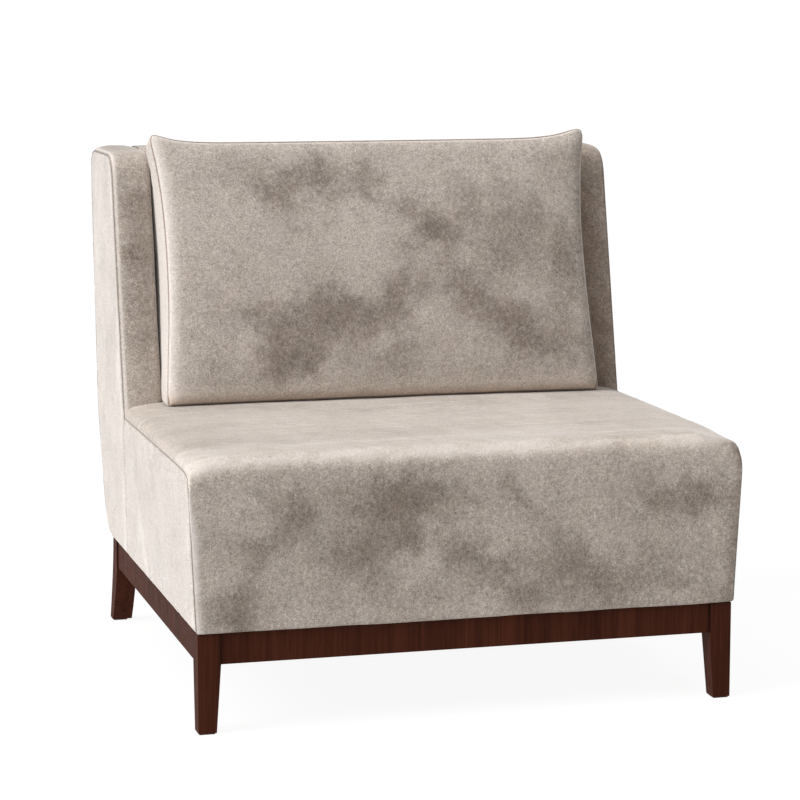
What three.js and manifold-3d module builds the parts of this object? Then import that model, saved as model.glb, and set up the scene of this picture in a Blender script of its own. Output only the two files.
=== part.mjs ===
// Armless slipper chair with a wrap-around back, one loose boxed back cushion
// and an exposed hardwood base. Millimetres, +Z up, the chair faces -Y.
// Everything is laid out with Y = 0 half way between the front and rear legs;
// the outer group then moves the chair so that its origin is the middle of the
// floor area that it covers.
import * as THREE from 'three';
import * as BufferGeometryUtils from 'three/addons/utils/BufferGeometryUtils.js';
import Module from 'manifold-3d';

const wasm = await Module();
wasm.setup();

// ------------------------------------------------------------------ dimensions
const GAP = 0.3;                 // clearance between pieces that touch

// exposed base
const LEG_X = 450;               // outer faces of the legs, each side of the middle
const LEG_Y = 406.4;             // outer faces, front and rear, under the seat
const LEG_TOP = 37.4;            // leg section at the top
const LEG_FOOT = 29.6;           // front leg section at the floor
const RAIL_TOP = 162.3;
const RAIL_BOTTOM = 112.6;
const RAIL_THICK = 22;
const RAIL_RECESS = 2.6;         // rail face behind the leg face
const BOARD_TOP = 240;           // top of the seat frame's boards
const GLIDE_THICK = 2;
const GLIDE_SIZE = 25;
const BOLT_R = 4;

// side outline of a rear leg: height, rear face, front face
const REAR_LEG = [
  [GLIDE_THICK + GAP, 452.2, 425.6],
  [30, 441.5, 407.5],
  [62, 429.6, 390.2],
  [90, 420.4, 378.0],
  [RAIL_BOTTOM, 414.2, 371.6],
  [140, 408.6, 369.4],
  [RAIL_TOP, LEG_Y, LEG_Y - LEG_TOP],
];

// upholstered body
const HALF_LOW = 453;            // half width of the fabric at its bottom edge
const HALF_HIGH = 463.4;         // half width from HALF_Z up
const FABRIC_BOTTOM = 164.6;
const HALF_Z = 396;
const COVER = 2.4;               // cover cloth with its wadding
const SEAT_FRONT = -411;
const SEAT_SIDE_TOP = 421;       // seam along the side of the seat
const SEAT_TOP = 447.4;          // seat crown on the middle line
const SEAT_ROUND = 34;           // front edge of the seat
const SIDE_ROUND = 18;           // front upper corner of the side panel
const NOTCH_Y = 189.4;           // the seat narrows between the wings from here back
const WING_IN = 392.4;           // inner face of a wing
const WING_Y0 = 190.2;           // wing front edge at seat level
const WING_Z0 = 440;
const LEAN = 0.2221;             // slope of the wing front and of the inside back
const WING_DEEP = 99.8;          // wing front to inside back, along Y
const BACK_SEAM_TOP = 877;

// loose back cushion, in its own leaning axes: across, up the back, forward
const CUSHION_FRONT = 70;
const CUSHION_REAR = -93;
const CUSHION_REAR_HALF = 388.6;
const CUSHION_BOTTOM = 451.4;
const CUSHION_WALL = 2.2;
const ZIP_HALF = 300;            // half length of the cushion's zip
const ZIP_SLOT = 9;

// --------------------------------------------------------------------- helpers
const wingFront = (z) => WING_Y0 + LEAN * (z - WING_Z0);
const insideBack = (z) => wingFront(z) + WING_DEEP;

// half width of the upholstered body at a height
function halfAt(z) {
  const t = Math.min(1, Math.max(0, (z - FABRIC_BOTTOM) / (HALF_Z - FABRIC_BOTTOM)));
  return HALF_LOW + (HALF_HIGH - HALF_LOW) * t;
}
const taper = (p) => { p.x *= halfAt(p.z) / HALF_HIGH; };

function warp(geometry, fn) {
  const a = geometry.attributes.position;
  const p = new THREE.Vector3();
  for (let i = 0; i < a.count; i++) {
    p.fromBufferAttribute(a, i);
    fn(p);
    a.setXYZ(i, p.x, p.y, p.z);
  }
  return geometry;
}

function shapeOf(points) {
  const s = new THREE.Shape();
  s.moveTo(points[0][0], points[0][1]);
  for (let i = 1; i < points.length; i++) s.lineTo(points[i][0], points[i][1]);
  s.closePath();
  return s;
}

// a (Y, Z) outline carried across X through the given stations
function across(points, stations) {
  const n = stations.length - 1;
  const g = new THREE.ExtrudeGeometry(shapeOf(points), { depth: n, steps: n, bevelEnabled: false });
  return warp(g, (p) => {
    const x = stations[Math.round(p.z)];
    p.set(x, p.x, p.y);
  });
}

// an (X, Y) outline between two heights
function plan(points, z0, z1) {
  const g = new THREE.ExtrudeGeometry(shapeOf(points), { depth: z1 - z0, steps: 1, bevelEnabled: false });
  return g.translate(0, 0, z0);
}

function box(x0, x1, y0, y1, z0, z1) {
  const g = new THREE.BoxGeometry(Math.abs(x1 - x0), Math.abs(y1 - y0), Math.abs(z1 - z0));
  return g.translate((x0 + x1) / 2, (y0 + y1) / 2, (z0 + z1) / 2);
}

// welded copy of a geometry, positions only
function weld(geometry) {
  const g = geometry.clone();
  g.deleteAttribute('normal');
  g.deleteAttribute('uv');
  return BufferGeometryUtils.mergeVertices(g, 1e-4);
}

function solid(geometry) {
  const g = weld(geometry);
  const tri = Uint32Array.from(g.index.array);
  return new wasm.Manifold(new wasm.Mesh({
    numProp: 3,
    vertProperties: Float32Array.from(g.attributes.position.array),
    triVerts: tri,
  }));
}

function surface(manifold) {
  const m = manifold.getMesh();
  const g = new THREE.BufferGeometry();
  g.setAttribute('position', new THREE.BufferAttribute(Float32Array.from(m.vertProperties), 3));
  g.setIndex(new THREE.BufferAttribute(Uint32Array.from(m.triVerts), 1));
  return g;
}

// a side panel follows the body's slope below HALF_Z and is upright above it
function tapered(geometry, fn) {
  const s = solid(geometry);
  const levels = [0, BOARD_TOP, HALF_Z, 1200];
  let whole = null;
  for (let i = 0; i < 3; i++) {
    const slab = s.intersect(solid(box(-600, 600, -600, 700, levels[i], levels[i + 1])));
    const part = solid(warp(surface(slab), fn));
    whole = whole ? whole.add(part) : part;
  }
  return surface(whole);
}

// offset an open polyline sideways by d (to the left of its direction)
function offsetLine(line, d) {
  const out = [];
  for (let i = 0; i < line.length; i++) {
    const a = line[Math.max(0, i - 1)];
    const b = line[i];
    const c = line[Math.min(line.length - 1, i + 1)];
    let n1 = [-(b[1] - a[1]), b[0] - a[0]];
    let n2 = [-(c[1] - b[1]), c[0] - b[0]];
    const l1 = Math.hypot(...n1), l2 = Math.hypot(...n2);
    if (l1 < 1e-9) n1 = n2;
    if (l2 < 1e-9) n2 = n1;
    const u1 = Math.hypot(...n1), u2 = Math.hypot(...n2);
    const m = [n1[0] / u1 + n2[0] / u2, n1[1] / u1 + n2[1] / u2];
    const len = Math.hypot(...m);
    const k = 2 / (len * len);
    out.push([b[0] + m[0] * k * d, b[1] + m[1] * k * d]);
  }
  return out;
}

// a sheet of even thickness along an open (Y, Z) line, to the left of it
function sheetOutline(line, from, to) {
  const a = offsetLine(line, from);
  const b = offsetLine(line, to);
  return a.concat(b.reverse());
}

function arc(cy, cz, r, a0, a1, n) {
  const pts = [];
  for (let i = 0; i <= n; i++) {
    const a = THREE.MathUtils.degToRad(a0 + (a1 - a0) * i / n);
    pts.push([cy + r * Math.cos(a), cz + r * Math.sin(a)]);
  }
  return pts;
}

// ------------------------------------------------------------------- materials
function material(color, roughness, metalness = 0) {
  return new THREE.MeshStandardMaterial({ color, roughness, metalness });
}
const espresso = material(0x452820, 0.42);
const velvet = material(0xb5aca3, 0.8);
const velvetLight = material(0xd9cfc6, 0.8);
const frameWood = material(0xc7a87c, 0.7);
const foam = material(0xe9dfc0, 0.95);
const wadding = material(0xeeeeea, 0.95);
const steel = material(0x8f9396, 0.35, 1);
const black = material(0x1b1a1a, 0.9);
const webbing = material(0x8c7a5e, 0.85);
const plastic = material(0x2b211c, 0.6);

const chair = new THREE.Group();
function add(name, geometry, mat) {
  const mesh = new THREE.Mesh(geometry, mat);
  mesh.name = name;
  chair.add(mesh);
  return mesh;
}

const SIDES = [['left', -1], ['right', 1]];

// ---------------------------------------------------------------- exposed base
// A leg is a six-faced post given its section at each height.
function legGeometry(sx, sy, levels) {
  const g = new THREE.BoxGeometry(1, 1, levels.length - 1, 1, 1, levels.length - 1);
  return warp(g, (p) => {
    const i = Math.round(p.z + (levels.length - 1) / 2);
    const [z, outerY, innerY, innerX] = levels[i];
    const x = (p.x * sx > 0) ? LEG_X : innerX;
    const y = (p.y * sy > 0) ? outerY : innerY;
    p.set(sx * x, sy * y, z);
  });
}

const railInX = LEG_X - RAIL_RECESS - RAIL_THICK;
const railInY = LEG_Y - RAIL_RECESS - RAIL_THICK;
const legInX = LEG_X - LEG_TOP;
const legInY = LEG_Y - LEG_TOP;
const BLOCK_Z0 = 118, BLOCK_Z1 = 156;
const BOLT_Z = (BLOCK_Z0 + BLOCK_Z1) / 2;
const BLOCK_REACH = 88;

// a bolt turned about its own axis, with washer and nut at the far end
function boltGeometry() {
  const r = BOLT_R;
  const profile = [[0, 0], [r, 0], [r, 73.8], [11, 73.8], [11, 75.8], [7.4, 75.8], [7.4, 82], [r, 82], [r, 87], [0, 87]]
    .map(([x, y]) => new THREE.Vector2(x, y));
  return new THREE.LatheGeometry(profile, 8);
}

for (const [yName, sy] of [['front', -1], ['rear', 1]]) {
  for (const [xName, sx] of SIDES) {
    const levels = sy < 0
      ? [[GLIDE_THICK + GAP, LEG_Y, LEG_Y - LEG_FOOT, LEG_X - LEG_FOOT],
        [RAIL_BOTTOM, LEG_Y, legInY, legInX],
        [RAIL_TOP, LEG_Y, legInY, legInX]]
      : REAR_LEG.map(([z, rear, front]) => [z, rear, front,
        LEG_X - LEG_TOP + 1.6 * Math.max(0, 1 - z / RAIL_BOTTOM)]);
    // bolt line: from inside the leg out through the corner block to the nut
    const startX = legInX + 14, startY = legInY + 14;
    const dir = new THREE.Vector3(-sx, -sy, 0).normalize();
    const turn = new THREE.Quaternion().setFromUnitVectors(new THREE.Vector3(0, 1, 0), dir);
    const place = new THREE.Matrix4().compose(
      new THREE.Vector3(sx * startX, sy * startY, BOLT_Z), turn, new THREE.Vector3(1, 1, 1));
    const hole = new THREE.CylinderGeometry(BOLT_R + 0.5, BOLT_R + 0.5, 120, 8);
    hole.translate(0, 60 - 0.6, 0).applyMatrix4(place);
    const footX = LEG_X - LEG_FOOT / 2;
    const footY = sy < 0 ? LEG_Y - LEG_FOOT / 2 : (REAR_LEG[0][1] + REAR_LEG[0][2]) / 2;
    const nailHole = new THREE.CylinderGeometry(1.9, 1.9, 30, 6);
    nailHole.rotateX(Math.PI / 2).translate(sx * footX, sy * footY, GLIDE_THICK + GAP);
    const leg = solid(legGeometry(sx, sy, levels)).subtract(solid(hole)).subtract(solid(nailHole));
    add(`leg_${yName}_${xName}`, surface(leg), espresso);

    // nail-on glide
    const half = Math.min(GLIDE_SIZE, sy < 0 ? GLIDE_SIZE : 23) / 2;
    const pad = box(-GLIDE_SIZE / 2, GLIDE_SIZE / 2, -half, half, 0, GLIDE_THICK);
    const nail = new THREE.CylinderGeometry(1.4, 1.4, 14, 6);
    nail.rotateX(Math.PI / 2).translate(0, 0, 8);
    add(`glide_${yName}_${xName}`,
      surface(solid(pad).add(solid(nail))).translate(sx * footX, sy * footY, 0), plastic);

    // corner block, notched round the leg's inner corner
    const bx = (x) => sx * x, by = (y) => sy * y;
    const lx = legInX - GAP, ly = legInY - GAP, rx = railInX - GAP, ry = railInY - GAP;
    let outline = [[bx(lx), by(ry)], [bx(lx - BLOCK_REACH), by(ry)],
      [bx(rx), by(ly - BLOCK_REACH)], [bx(rx), by(ly)], [bx(lx), by(ly)]];
    const block = solid(plan(outline, BLOCK_Z0, BLOCK_Z1)).subtract(solid(hole));
    add(`corner_block_${yName}_${xName}`, surface(block), frameWood);
    add(`leg_bolt_${yName}_${xName}`, boltGeometry().applyMatrix4(place), steel);
  }
  add(`base_rail_${yName}`, box(-legInX + GAP, legInX - GAP,
    sy * (LEG_Y - RAIL_RECESS), sy * railInY, RAIL_BOTTOM, RAIL_TOP), espresso);
}
for (const [xName, sx] of SIDES) {
  add(`base_rail_${xName}`, box(sx * (LEG_X - RAIL_RECESS), sx * railInX,
    -legInY + GAP, legInY - GAP, RAIL_BOTTOM, RAIL_TOP), espresso);
}

// ------------------------------------------------------------- seat, inner parts
const BOARD_BOTTOM = RAIL_TOP + 0.7;
for (const [xName, sx] of SIDES) {
  add(`seat_board_${xName}`, box(sx * 446, sx * 424, -404, 396, BOARD_BOTTOM, BOARD_TOP), frameWood);
}
add('seat_board_front', box(-423.6, 423.6, -404, -382, BOARD_BOTTOM, BOARD_TOP), frameWood);
add('seat_board_rear', box(-423.6, 423.6, 374, 396, BOARD_BOTTOM, BOARD_TOP), frameWood);

// black dust cloth under the seat, cut round the legs
{
  const x0 = railInX - 0.6, y0 = railInY - 0.6, x1 = legInX - 0.8, y1 = legInY - 3.2;
  const z = 156.6;
  add('dust_cover', plan([[-x1, -y0], [x1, -y0], [x1, -y1], [x0, -y1], [x0, y1], [x1, y1], [x1, y0],
    [-x1, y0], [-x1, y1], [-x0, y1], [-x0, -y1], [-x1, -y1]], z, z + 1.2), black);
}

// sinuous springs from the front board to the rear board
const SPRING_R = 1.9, SPRING_SWING = 26, SPRING_ARCH = 6, SPRING_BENDS = 13;
function springGeometry() {
  const y0 = -392, y1 = 384;
  const pts = [];
  const n = SPRING_BENDS;
  for (let i = 0; i <= n * 2; i++) {
    const t = i / (n * 2);
    const y = y0 + (y1 - y0) * t;
    const side = (i === 0 || i === n * 2) ? 0 : Math.sin(Math.PI * (i / 2));
    pts.push(new THREE.Vector3(side * SPRING_SWING, y,
      BOARD_TOP + SPRING_R + 0.5 + SPRING_ARCH * 4 * t * (1 - t)));
  }
  const path = new THREE.CatmullRomCurve3(pts, false, 'catmullrom', 0.6);
  const section = new THREE.Shape();
  const sides = 5;
  for (let i = 0; i < sides; i++) {
    const a = 2 * Math.PI * i / sides;
    const q = [SPRING_R * Math.cos(a), SPRING_R * Math.sin(a)];
    if (i === 0) section.moveTo(...q); else section.lineTo(...q);
  }
  section.closePath();
  return new THREE.ExtrudeGeometry(section, { steps: n * 4, bevelEnabled: false, extrudePath: path });
}
[-330, -165, 0, 165, 330].forEach((x, i) => {
  add(`seat_spring_${i + 1}`, springGeometry().translate(x, 0, 0), steel);
});

// felt over the springs
add('seat_insulator', box(-434, 434, -402, insideBack(252) - 6, 250.6, 252.6), black);

// The seat's crown: how far the top lies under SEAT_TOP at a half width,
// and across which heights that fall is taken up.
const CROWN_X = [0, 250, 350, 405, 430, 445, 455, 460, HALF_HIGH];
const CROWN_DROP = [0, 0.4, 1.4, 3.2, 5.6, 9.0, 14.0, 19.0, 26.0];
function crownDrop(x) {
  const a = Math.abs(x);
  for (let i = 1; i < CROWN_X.length; i++) {
    if (a <= CROWN_X[i]) {
      const t = (a - CROWN_X[i - 1]) / (CROWN_X[i] - CROWN_X[i - 1]);
      return CROWN_DROP[i - 1] + t * (CROWN_DROP[i] - CROWN_DROP[i - 1]);
    }
  }
  return CROWN_DROP[CROWN_DROP.length - 1];
}
function crown(p) {
  const t = Math.min(1, Math.max(0, (p.z - 300) / (SEAT_TOP - 40 - 300)));
  p.z -= crownDrop(p.x) * t;
  taper(p);
}
const seatStations = (edge) => {
  const half = CROWN_X.slice(1, -1).concat([edge]);
  return half.slice().reverse().map((v) => -v).concat([0], half);
};

// line of the seat's upper and front surface, from the tuck at the back to the hem
const seatLine = [[insideBack(SEAT_TOP) - 2.2, SEAT_TOP]]
  .concat(arc(SEAT_FRONT + SEAT_ROUND, SEAT_TOP - SEAT_ROUND, SEAT_ROUND, 90, 180, 6))
  .concat([[SEAT_FRONT, 300], [SEAT_FRONT, 252.8], [SEAT_FRONT, FABRIC_BOTTOM]]);

// the seat narrows between the wings
function narrow(geometry, half, y) {
  let s = solid(geometry);
  for (const [, sx] of SIDES) {
    s = s.subtract(solid(box(sx * half, sx * 520, y, 620, 200, 520)));
  }
  return surface(s);
}

{
  const top = offsetLine(seatLine, COVER + GAP);
  const outline = top.slice(0, 9).concat([[top[8][0], 253.4], [insideBack(253.4) - 4, 253.4]]);
  outline[0][0] = insideBack(SEAT_TOP) - 3.2;
  add('seat_foam', narrow(warp(across(outline, seatStations(HALF_HIGH - COVER - 0.9)), crown),
    WING_IN - 3.2, NOTCH_Y - 1.4), foam);
  add('seat_front_pad', warp(across([[-404.4, 166], [-404.4, 252.8], [-408, 252.8], [-408, 166]],
    [-455, 455]), taper), wadding);
  add('seat_cover', narrow(warp(across(sheetOutline(seatLine, 0, COVER),
    seatStations(HALF_HIGH - COVER - 0.5)), crown), WING_IN - 2.2, NOTCH_Y - 0.4), velvet);
}

const seamLow = 232, seamHigh = 190;       // seam between seat side and back side
for (const [xName, sx] of SIDES) {
  // side padding outside the board
  const inner = 446.5, outer = HALF_HIGH - COVER - 0.4;
  const pad = across([[-403.8, 166], [204, 166], [204, 252.8], [-403.8, 252.8]],
    sx > 0 ? [inner, outer] : [-outer, -inner]);
  add(`seat_side_pad_${xName}`, warp(pad, (p) => {
    if (Math.abs(p.x) > 450) taper(p);
  }), wadding);

  // side panel of the seat
  const c = SIDE_ROUND;
  const outline = [[SEAT_FRONT + 2.6, FABRIC_BOTTOM], [seamLow - 0.4, FABRIC_BOTTOM],
    [seamLow - 6.6, 200], [seamLow - 18.5, 260], [seamLow - 29.4, 320], [seamLow - 39, HALF_Z],
    [seamHigh - 0.6, SEAT_SIDE_TOP - 0.4]]
    .concat(arc(SEAT_FRONT + 2.6 + c, SEAT_SIDE_TOP - 0.4 - c, c, 90, 180, 4))
    .concat([[SEAT_FRONT + 2.6, HALF_Z], [SEAT_FRONT + 2.6, 300]]);
  const xs = [HALF_HIGH - COVER, HALF_HIGH];
  add(`seat_side_cover_${xName}`, tapered(across(outline, sx > 0 ? xs : [-xs[1], -xs[0]]), taper), velvetLight);
}

// -------------------------------------------------------------------- the back
const rearLine = [[520.6, 861], [521, 782], [503.5, 596], [488, HALF_Z + 9], [478, 285], [471, 228],
  [460, 196], [442, 175], [418, FABRIC_BOTTOM + 0.6], [404, FABRIC_BOTTOM]];
const sideFront = [[seamLow, FABRIC_BOTTOM], [seamLow - 6.2, 200], [seamLow - 18.1, 260],
  [seamLow - 29, 320], [seamLow - 38.6, HALF_Z], [seamHigh, SEAT_SIDE_TOP]];
const wingCorner = [[wingFront(838), 838], [wingFront(838) + 7.4, 858], [wingFront(838) + 19, 870.5],
  [wingFront(838) + 34, 876]];

for (const [xName, sx] of SIDES) {
  const flip = (a, b) => (sx > 0 ? [a, b] : [-b, -a]);

  // plywood side panel of the back, standing on the seat's side board
  const ply = [[206, BOARD_TOP + 0.4], [206, 430], [wingFront(842) + 18, 842], [wingFront(842) + 34, 862],
    [498, 862], [509, 848], [511, 782], [493.5, 596], [478, 405], [468, 285], [462, BOARD_TOP + 0.4]];
  add(`wing_panel_${xName}`, across(ply, flip(435.8, 450.4)), frameWood);

  // wadding over its outer face
  const padOutline = [[seamLow + 4, 169], [seamLow - 2, 200], [seamLow - 14, 260], [seamLow - 25, 320],
    [seamLow - 35, HALF_Z], [wingFront(424) + 18.4, 424], [wingFront(842) + 18.4, 842],
    [wingFront(842) + 34.4, 861.4], [497, 861.4], [508.4, 848], [511, 782], [494, 596], [479, 405], [469, 285],
    [462.4, 230], [451, 202], [434, 183], [411, 172]];
  const pad = across(padOutline, flip(451, HALF_HIGH - COVER - 0.4));
  add(`side_pad_${xName}`, tapered(pad, (p) => {
    if (Math.abs(p.x) > 455) taper(p);
    else p.x = Math.sign(p.x) * Math.min(451, (HALF_HIGH - COVER - 0.4) * halfAt(p.z) / HALF_HIGH - 2.6);
  }), wadding);

  // foam of the wing: in front of and inside the panel, and over the top
  const foamPoly = [[wingFront(442) + COVER + 0.5, 442], [wingFront(842) + COVER + 0.5, 842],
    [wingFront(842) + 11, 862], [wingFront(842) + 24, 876], [wingFront(842) + 44, 882.8],
    [488, 882.8], [505, 876], [516, 863.4], [insideBack(863) + 2, 863.4], [insideBack(442) + 2, 442]];
  const crownWing = (p) => {
    const a = Math.abs(p.x);
    const t = Math.min(1, Math.max(0, (p.z - 820) / 62));
    const drop = a < 402 ? 5 : a < 440 ? 0 : 5.5 * Math.min(1, (a - 440) / 20);
    p.z -= drop * t;
  };
  const wingXs = (a, b) => (sx > 0 ? [a, 404, 438, b] : [-b, -438, -404, -a]);
  const slot = across([[wingFront(300) + 17, 300], [wingFront(842) + 17, 842],
    [wingFront(842) + 33.4, 862.6], [530, 862.6], [530, 300]], flip(435.2, 470));
  const wf = solid(warp(across(foamPoly, wingXs(WING_IN + COVER + 0.4, HALF_HIGH - COVER - 1.2)), crownWing))
    .subtract(solid(slot));
  add(`wing_foam_${xName}`, surface(wf), foam);

  // cover of the wing: front band, top and inner face, in one piece
  const bandPoly = [[wingFront(442), 442], [wingFront(842), 842], [wingFront(842) + 9, 863.5],
    [wingFront(842) + 23, 878.6], [wingFront(842) + 44, 885.4], [488.6, 885.4], [507, 878.4], [518, 864.6],
    [518, 863], [insideBack(863) + 2, 863], [insideBack(442) + 2, 442]];
  const hollowPoly = [[wingFront(300) + COVER + 0.2, 300], [wingFront(842) + COVER + 0.2, 842],
    [wingFront(842) + 10.7, 862.2], [wingFront(842) + 23.9, 876.3], [wingFront(842) + 43.9, 883.1],
    [488.2, 883.1], [505.4, 876.3], [530, 862], [530, 300]];
  const band = solid(warp(across(bandPoly, wingXs(WING_IN, HALF_HIGH - COVER - 0.5)), crownWing));
  const hollow = solid(warp(across(hollowPoly, wingXs(WING_IN + COVER, HALF_HIGH + 6)), crownWing));
  add(`wing_cover_${xName}`, surface(band.subtract(hollow)), velvet);

  // outer side panel of the back
  const panel = sideFront.concat(wingCorner, [[463, BACK_SEAM_TOP], [492, 873.4], [510, 867], [520.6, 857]],
    rearLine.slice(1));
  const g = across(panel, flip(HALF_HIGH - COVER, HALF_HIGH));
  add(`back_side_cover_${xName}`, tapered(g, taper), velvetLight);
}

// rails between the two side panels
const leanRear = 0.0875;
function backRail(z0, z1, rear) {
  const r = (z) => rear + leanRear * (z - z0);
  return across([[r(z0) - 22, z0], [r(z0), z0], [r(z1), z1], [r(z1) - 22, z1]], [-435.4, 435.4]);
}
add('back_rail_top', backRail(786, 855, 502), frameWood);
add('back_rail_bottom', backRail(256, 330, 456), frameWood);

// elastic webbing behind the inside-back foam
const leanAngle = Math.atan(LEAN);
[520, 660, 800].forEach((z, i) => {
  const strap = new THREE.BoxGeometry(870.4, 1.8, 50);
  strap.rotateX(-leanAngle).translate(0, insideBack(z) + 58, z);
  add(`back_web_${i + 1}`, strap, webbing);
});

// foam of the inside back, carried over the top rail
{
  const f = (z, d) => insideBack(z) + d;
  const line = [[518, 864.6], [507, 878.4], [488.6, 885.6], [f(846, 45), 885.6], [f(846, 24), 881.4],
    [f(846, 7.4), 867.4], [f(846, 0), 846], [f(452, 0), 452], [f(404, 0), 404]];
  const inner = offsetLine(line.slice(0, 7).concat([[f(300, 0), 300]]), COVER + 0.5);
  add('inside_back_foam', across(inner.concat([[f(300, 55), 300], [f(863, 55), 863.4], [515, 863.4]]),
    [-(WING_IN - 0.9), WING_IN - 0.9]), foam);
  add('inside_back_cover', across(sheetOutline(line, 0.1, COVER), [-(WING_IN - 0.6), WING_IN - 0.6]), velvet);
}

// outer back panel, rolled under at the bottom
{
  const half = HALF_HIGH - COVER - 0.5;
  add('outside_back_cover', warp(across(sheetOutline(rearLine, 0, -COVER), [-half, half]), taper), velvet);
}

// ---------------------------------------------------------- loose back cushion
const A = leanAngle;
const leanPoint = (u, v, w) => new THREE.Vector3(u,
  WING_Y0 + v * Math.sin(A) - w * Math.cos(A),
  WING_Z0 + v * Math.cos(A) + w * Math.sin(A));

// half outline of the front panel: across, up the back
const cushionHalf = [[0, 460.4], [250, 460.6], [318, 461.4], [358, 464.6], [382, 470.4], [394, 473.6], [401, 471],
  [400, 455], [395.4, 415], [389, 340], [386.4, 250], [387.4, 160], [391, 85], [394.6, 20], [395.4, -5]];
const cushionSteps = [CUSHION_REAR, 2.5, 14, 44, CUSHION_FRONT];
function cushionSolid(inset) {
  const half = cushionHalf.map(([u, v], i) => [Math.max(0, i === 0 ? 0 : u - inset), v > 400 && i < 7 ? v - inset : v]);
  const outline = half.concat(half.slice(1).reverse().map(([u, v]) => [-u, v]));
  const n = cushionSteps.length - 1;
  const g = new THREE.ExtrudeGeometry(shapeOf(outline), { depth: n, steps: n, bevelEnabled: false });
  return warp(g, (p) => {
    const k = Math.round(p.z);
    let w = cushionSteps[k];
    if (k === 0) w += inset;
    if (k === n) w -= inset;
    let u = p.x, v = p.y;
    if (k < 2) {                                   // between the wings
      u = Math.sign(u) * Math.min(Math.abs(u), CUSHION_REAR_HALF - inset);
      if (v > 400) v = Math.min(v, 458 - inset);
    }
    const low = (CUSHION_BOTTOM + inset - WING_Z0 - w * Math.sin(A)) / Math.cos(A);
    if (v < 0) v = low;
    else if (v < 30) v = low + 17;
    p.copy(leanPoint(u, v, w));
  });
}
const zipY = leanPoint(0, 10, -10).y;
{
  const slot = box(-ZIP_HALF, ZIP_HALF, zipY - ZIP_SLOT / 2, zipY + ZIP_SLOT / 2, CUSHION_BOTTOM - 5, CUSHION_BOTTOM + 8);
  const cover = solid(cushionSolid(0)).subtract(solid(cushionSolid(CUSHION_WALL))).subtract(solid(slot));
  add('cushion_cover', surface(cover), velvet);
  const room = box(-ZIP_HALF - 14, ZIP_HALF + 14, zipY - 13, zipY + 13, CUSHION_BOTTOM - 5, CUSHION_BOTTOM + 6.4);
  add('cushion_insert', surface(solid(cushionSolid(CUSHION_WALL + 0.6)).subtract(solid(room))), wadding);
  add('zip_tape', box(-ZIP_HALF - 12, ZIP_HALF + 12, zipY - 11, zipY + 11,
    CUSHION_BOTTOM + 4.4, CUSHION_BOTTOM + 5.4), webbing);
  const body = box(-8, 8, -3.8, 3.8, CUSHION_BOTTOM - 0.6, CUSHION_BOTTOM + 4);
  const tab = box(-7, 22, -2.6, 2.6, CUSHION_BOTTOM - 1.9, CUSHION_BOTTOM - 0.9);
  const lug = box(-7, -3, -2.6, 2.6, CUSHION_BOTTOM - 1.9, CUSHION_BOTTOM - 0.4);
  add('zip_slider', surface(solid(body).add(solid(tab)).add(solid(lug)))
    .translate(ZIP_HALF - 26, zipY, 0), steel);
}

// -------------------------------------------------------------- whole object
const SHIFT_Y = -(SEAT_FRONT + rearLine[1][0]) / 2;
chair.position.set(0, SHIFT_Y, 0);
chair.updateMatrixWorld(true);

export default chair;
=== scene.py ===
import math

import bmesh
import bpy
import numpy as np
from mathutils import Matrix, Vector


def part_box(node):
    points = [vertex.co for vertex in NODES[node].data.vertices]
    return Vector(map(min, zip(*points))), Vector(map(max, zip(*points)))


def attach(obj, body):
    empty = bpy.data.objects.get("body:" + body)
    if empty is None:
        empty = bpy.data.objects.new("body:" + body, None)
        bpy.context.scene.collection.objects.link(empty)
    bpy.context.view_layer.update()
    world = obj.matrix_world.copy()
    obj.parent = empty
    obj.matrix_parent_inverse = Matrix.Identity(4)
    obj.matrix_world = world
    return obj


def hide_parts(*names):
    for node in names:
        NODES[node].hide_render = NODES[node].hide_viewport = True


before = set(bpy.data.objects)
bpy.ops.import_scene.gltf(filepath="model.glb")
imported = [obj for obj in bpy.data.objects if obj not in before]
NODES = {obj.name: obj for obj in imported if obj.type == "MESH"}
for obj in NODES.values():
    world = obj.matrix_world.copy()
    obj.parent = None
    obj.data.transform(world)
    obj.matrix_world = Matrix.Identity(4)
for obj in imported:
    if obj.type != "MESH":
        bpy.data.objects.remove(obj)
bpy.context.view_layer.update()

SHIFT_Y = -55.0                 # the leg frame's origin in the part's frame, mm

# ------------------------------------------------------------ driving sizes, mm
HALF_LOW, HALF_HIGH = 453.0, 463.4
FABRIC_BOTTOM, HALF_Z = 164.6, 396.0
SEAT_FRONT, SEAT_TOP, SEAT_ROUND = -411.0, 447.4, 34.0
NOTCH_Y, WING_IN = 189.4, 392.4
LEAN = 0.2221
CUSHION_BOTTOM = 451.4
ZIP_HALF = 300.0
A = math.atan(LEAN)
SIN, COS = math.sin(A), math.cos(A)


def wing_front(z):
    return 190.2 + LEAN * (z - 440.0)


def inside_back(z):
    return wing_front(z) + 99.8


def half_at(z):
    t = np.clip((z - FABRIC_BOTTOM) / (HALF_Z - FABRIC_BOTTOM), 0, 1)
    return HALF_LOW + (HALF_HIGH - HALF_LOW) * t


# --------------------------------------------------------------- mesh helpers
def unit(v):
    return v / np.maximum(np.linalg.norm(v, axis=-1, keepdims=True), 1e-9)


def smooth_step(t):
    t = np.clip(t, 0, 1)
    return t * t * (3 - 2 * t)


def waves(seed, size, n=14):
    """smooth noise of about unit spread, with features of that size in mm"""
    rng = np.random.RandomState(seed)
    k = unit(rng.normal(size=(n, 3))) * (2 * math.pi / size) * rng.uniform(0.55, 1.5, (n, 1))
    ph = rng.uniform(0, 2 * math.pi, n)
    return lambda p: np.sin(p @ k.T + ph).sum(-1) / math.sqrt(n / 2)


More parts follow.
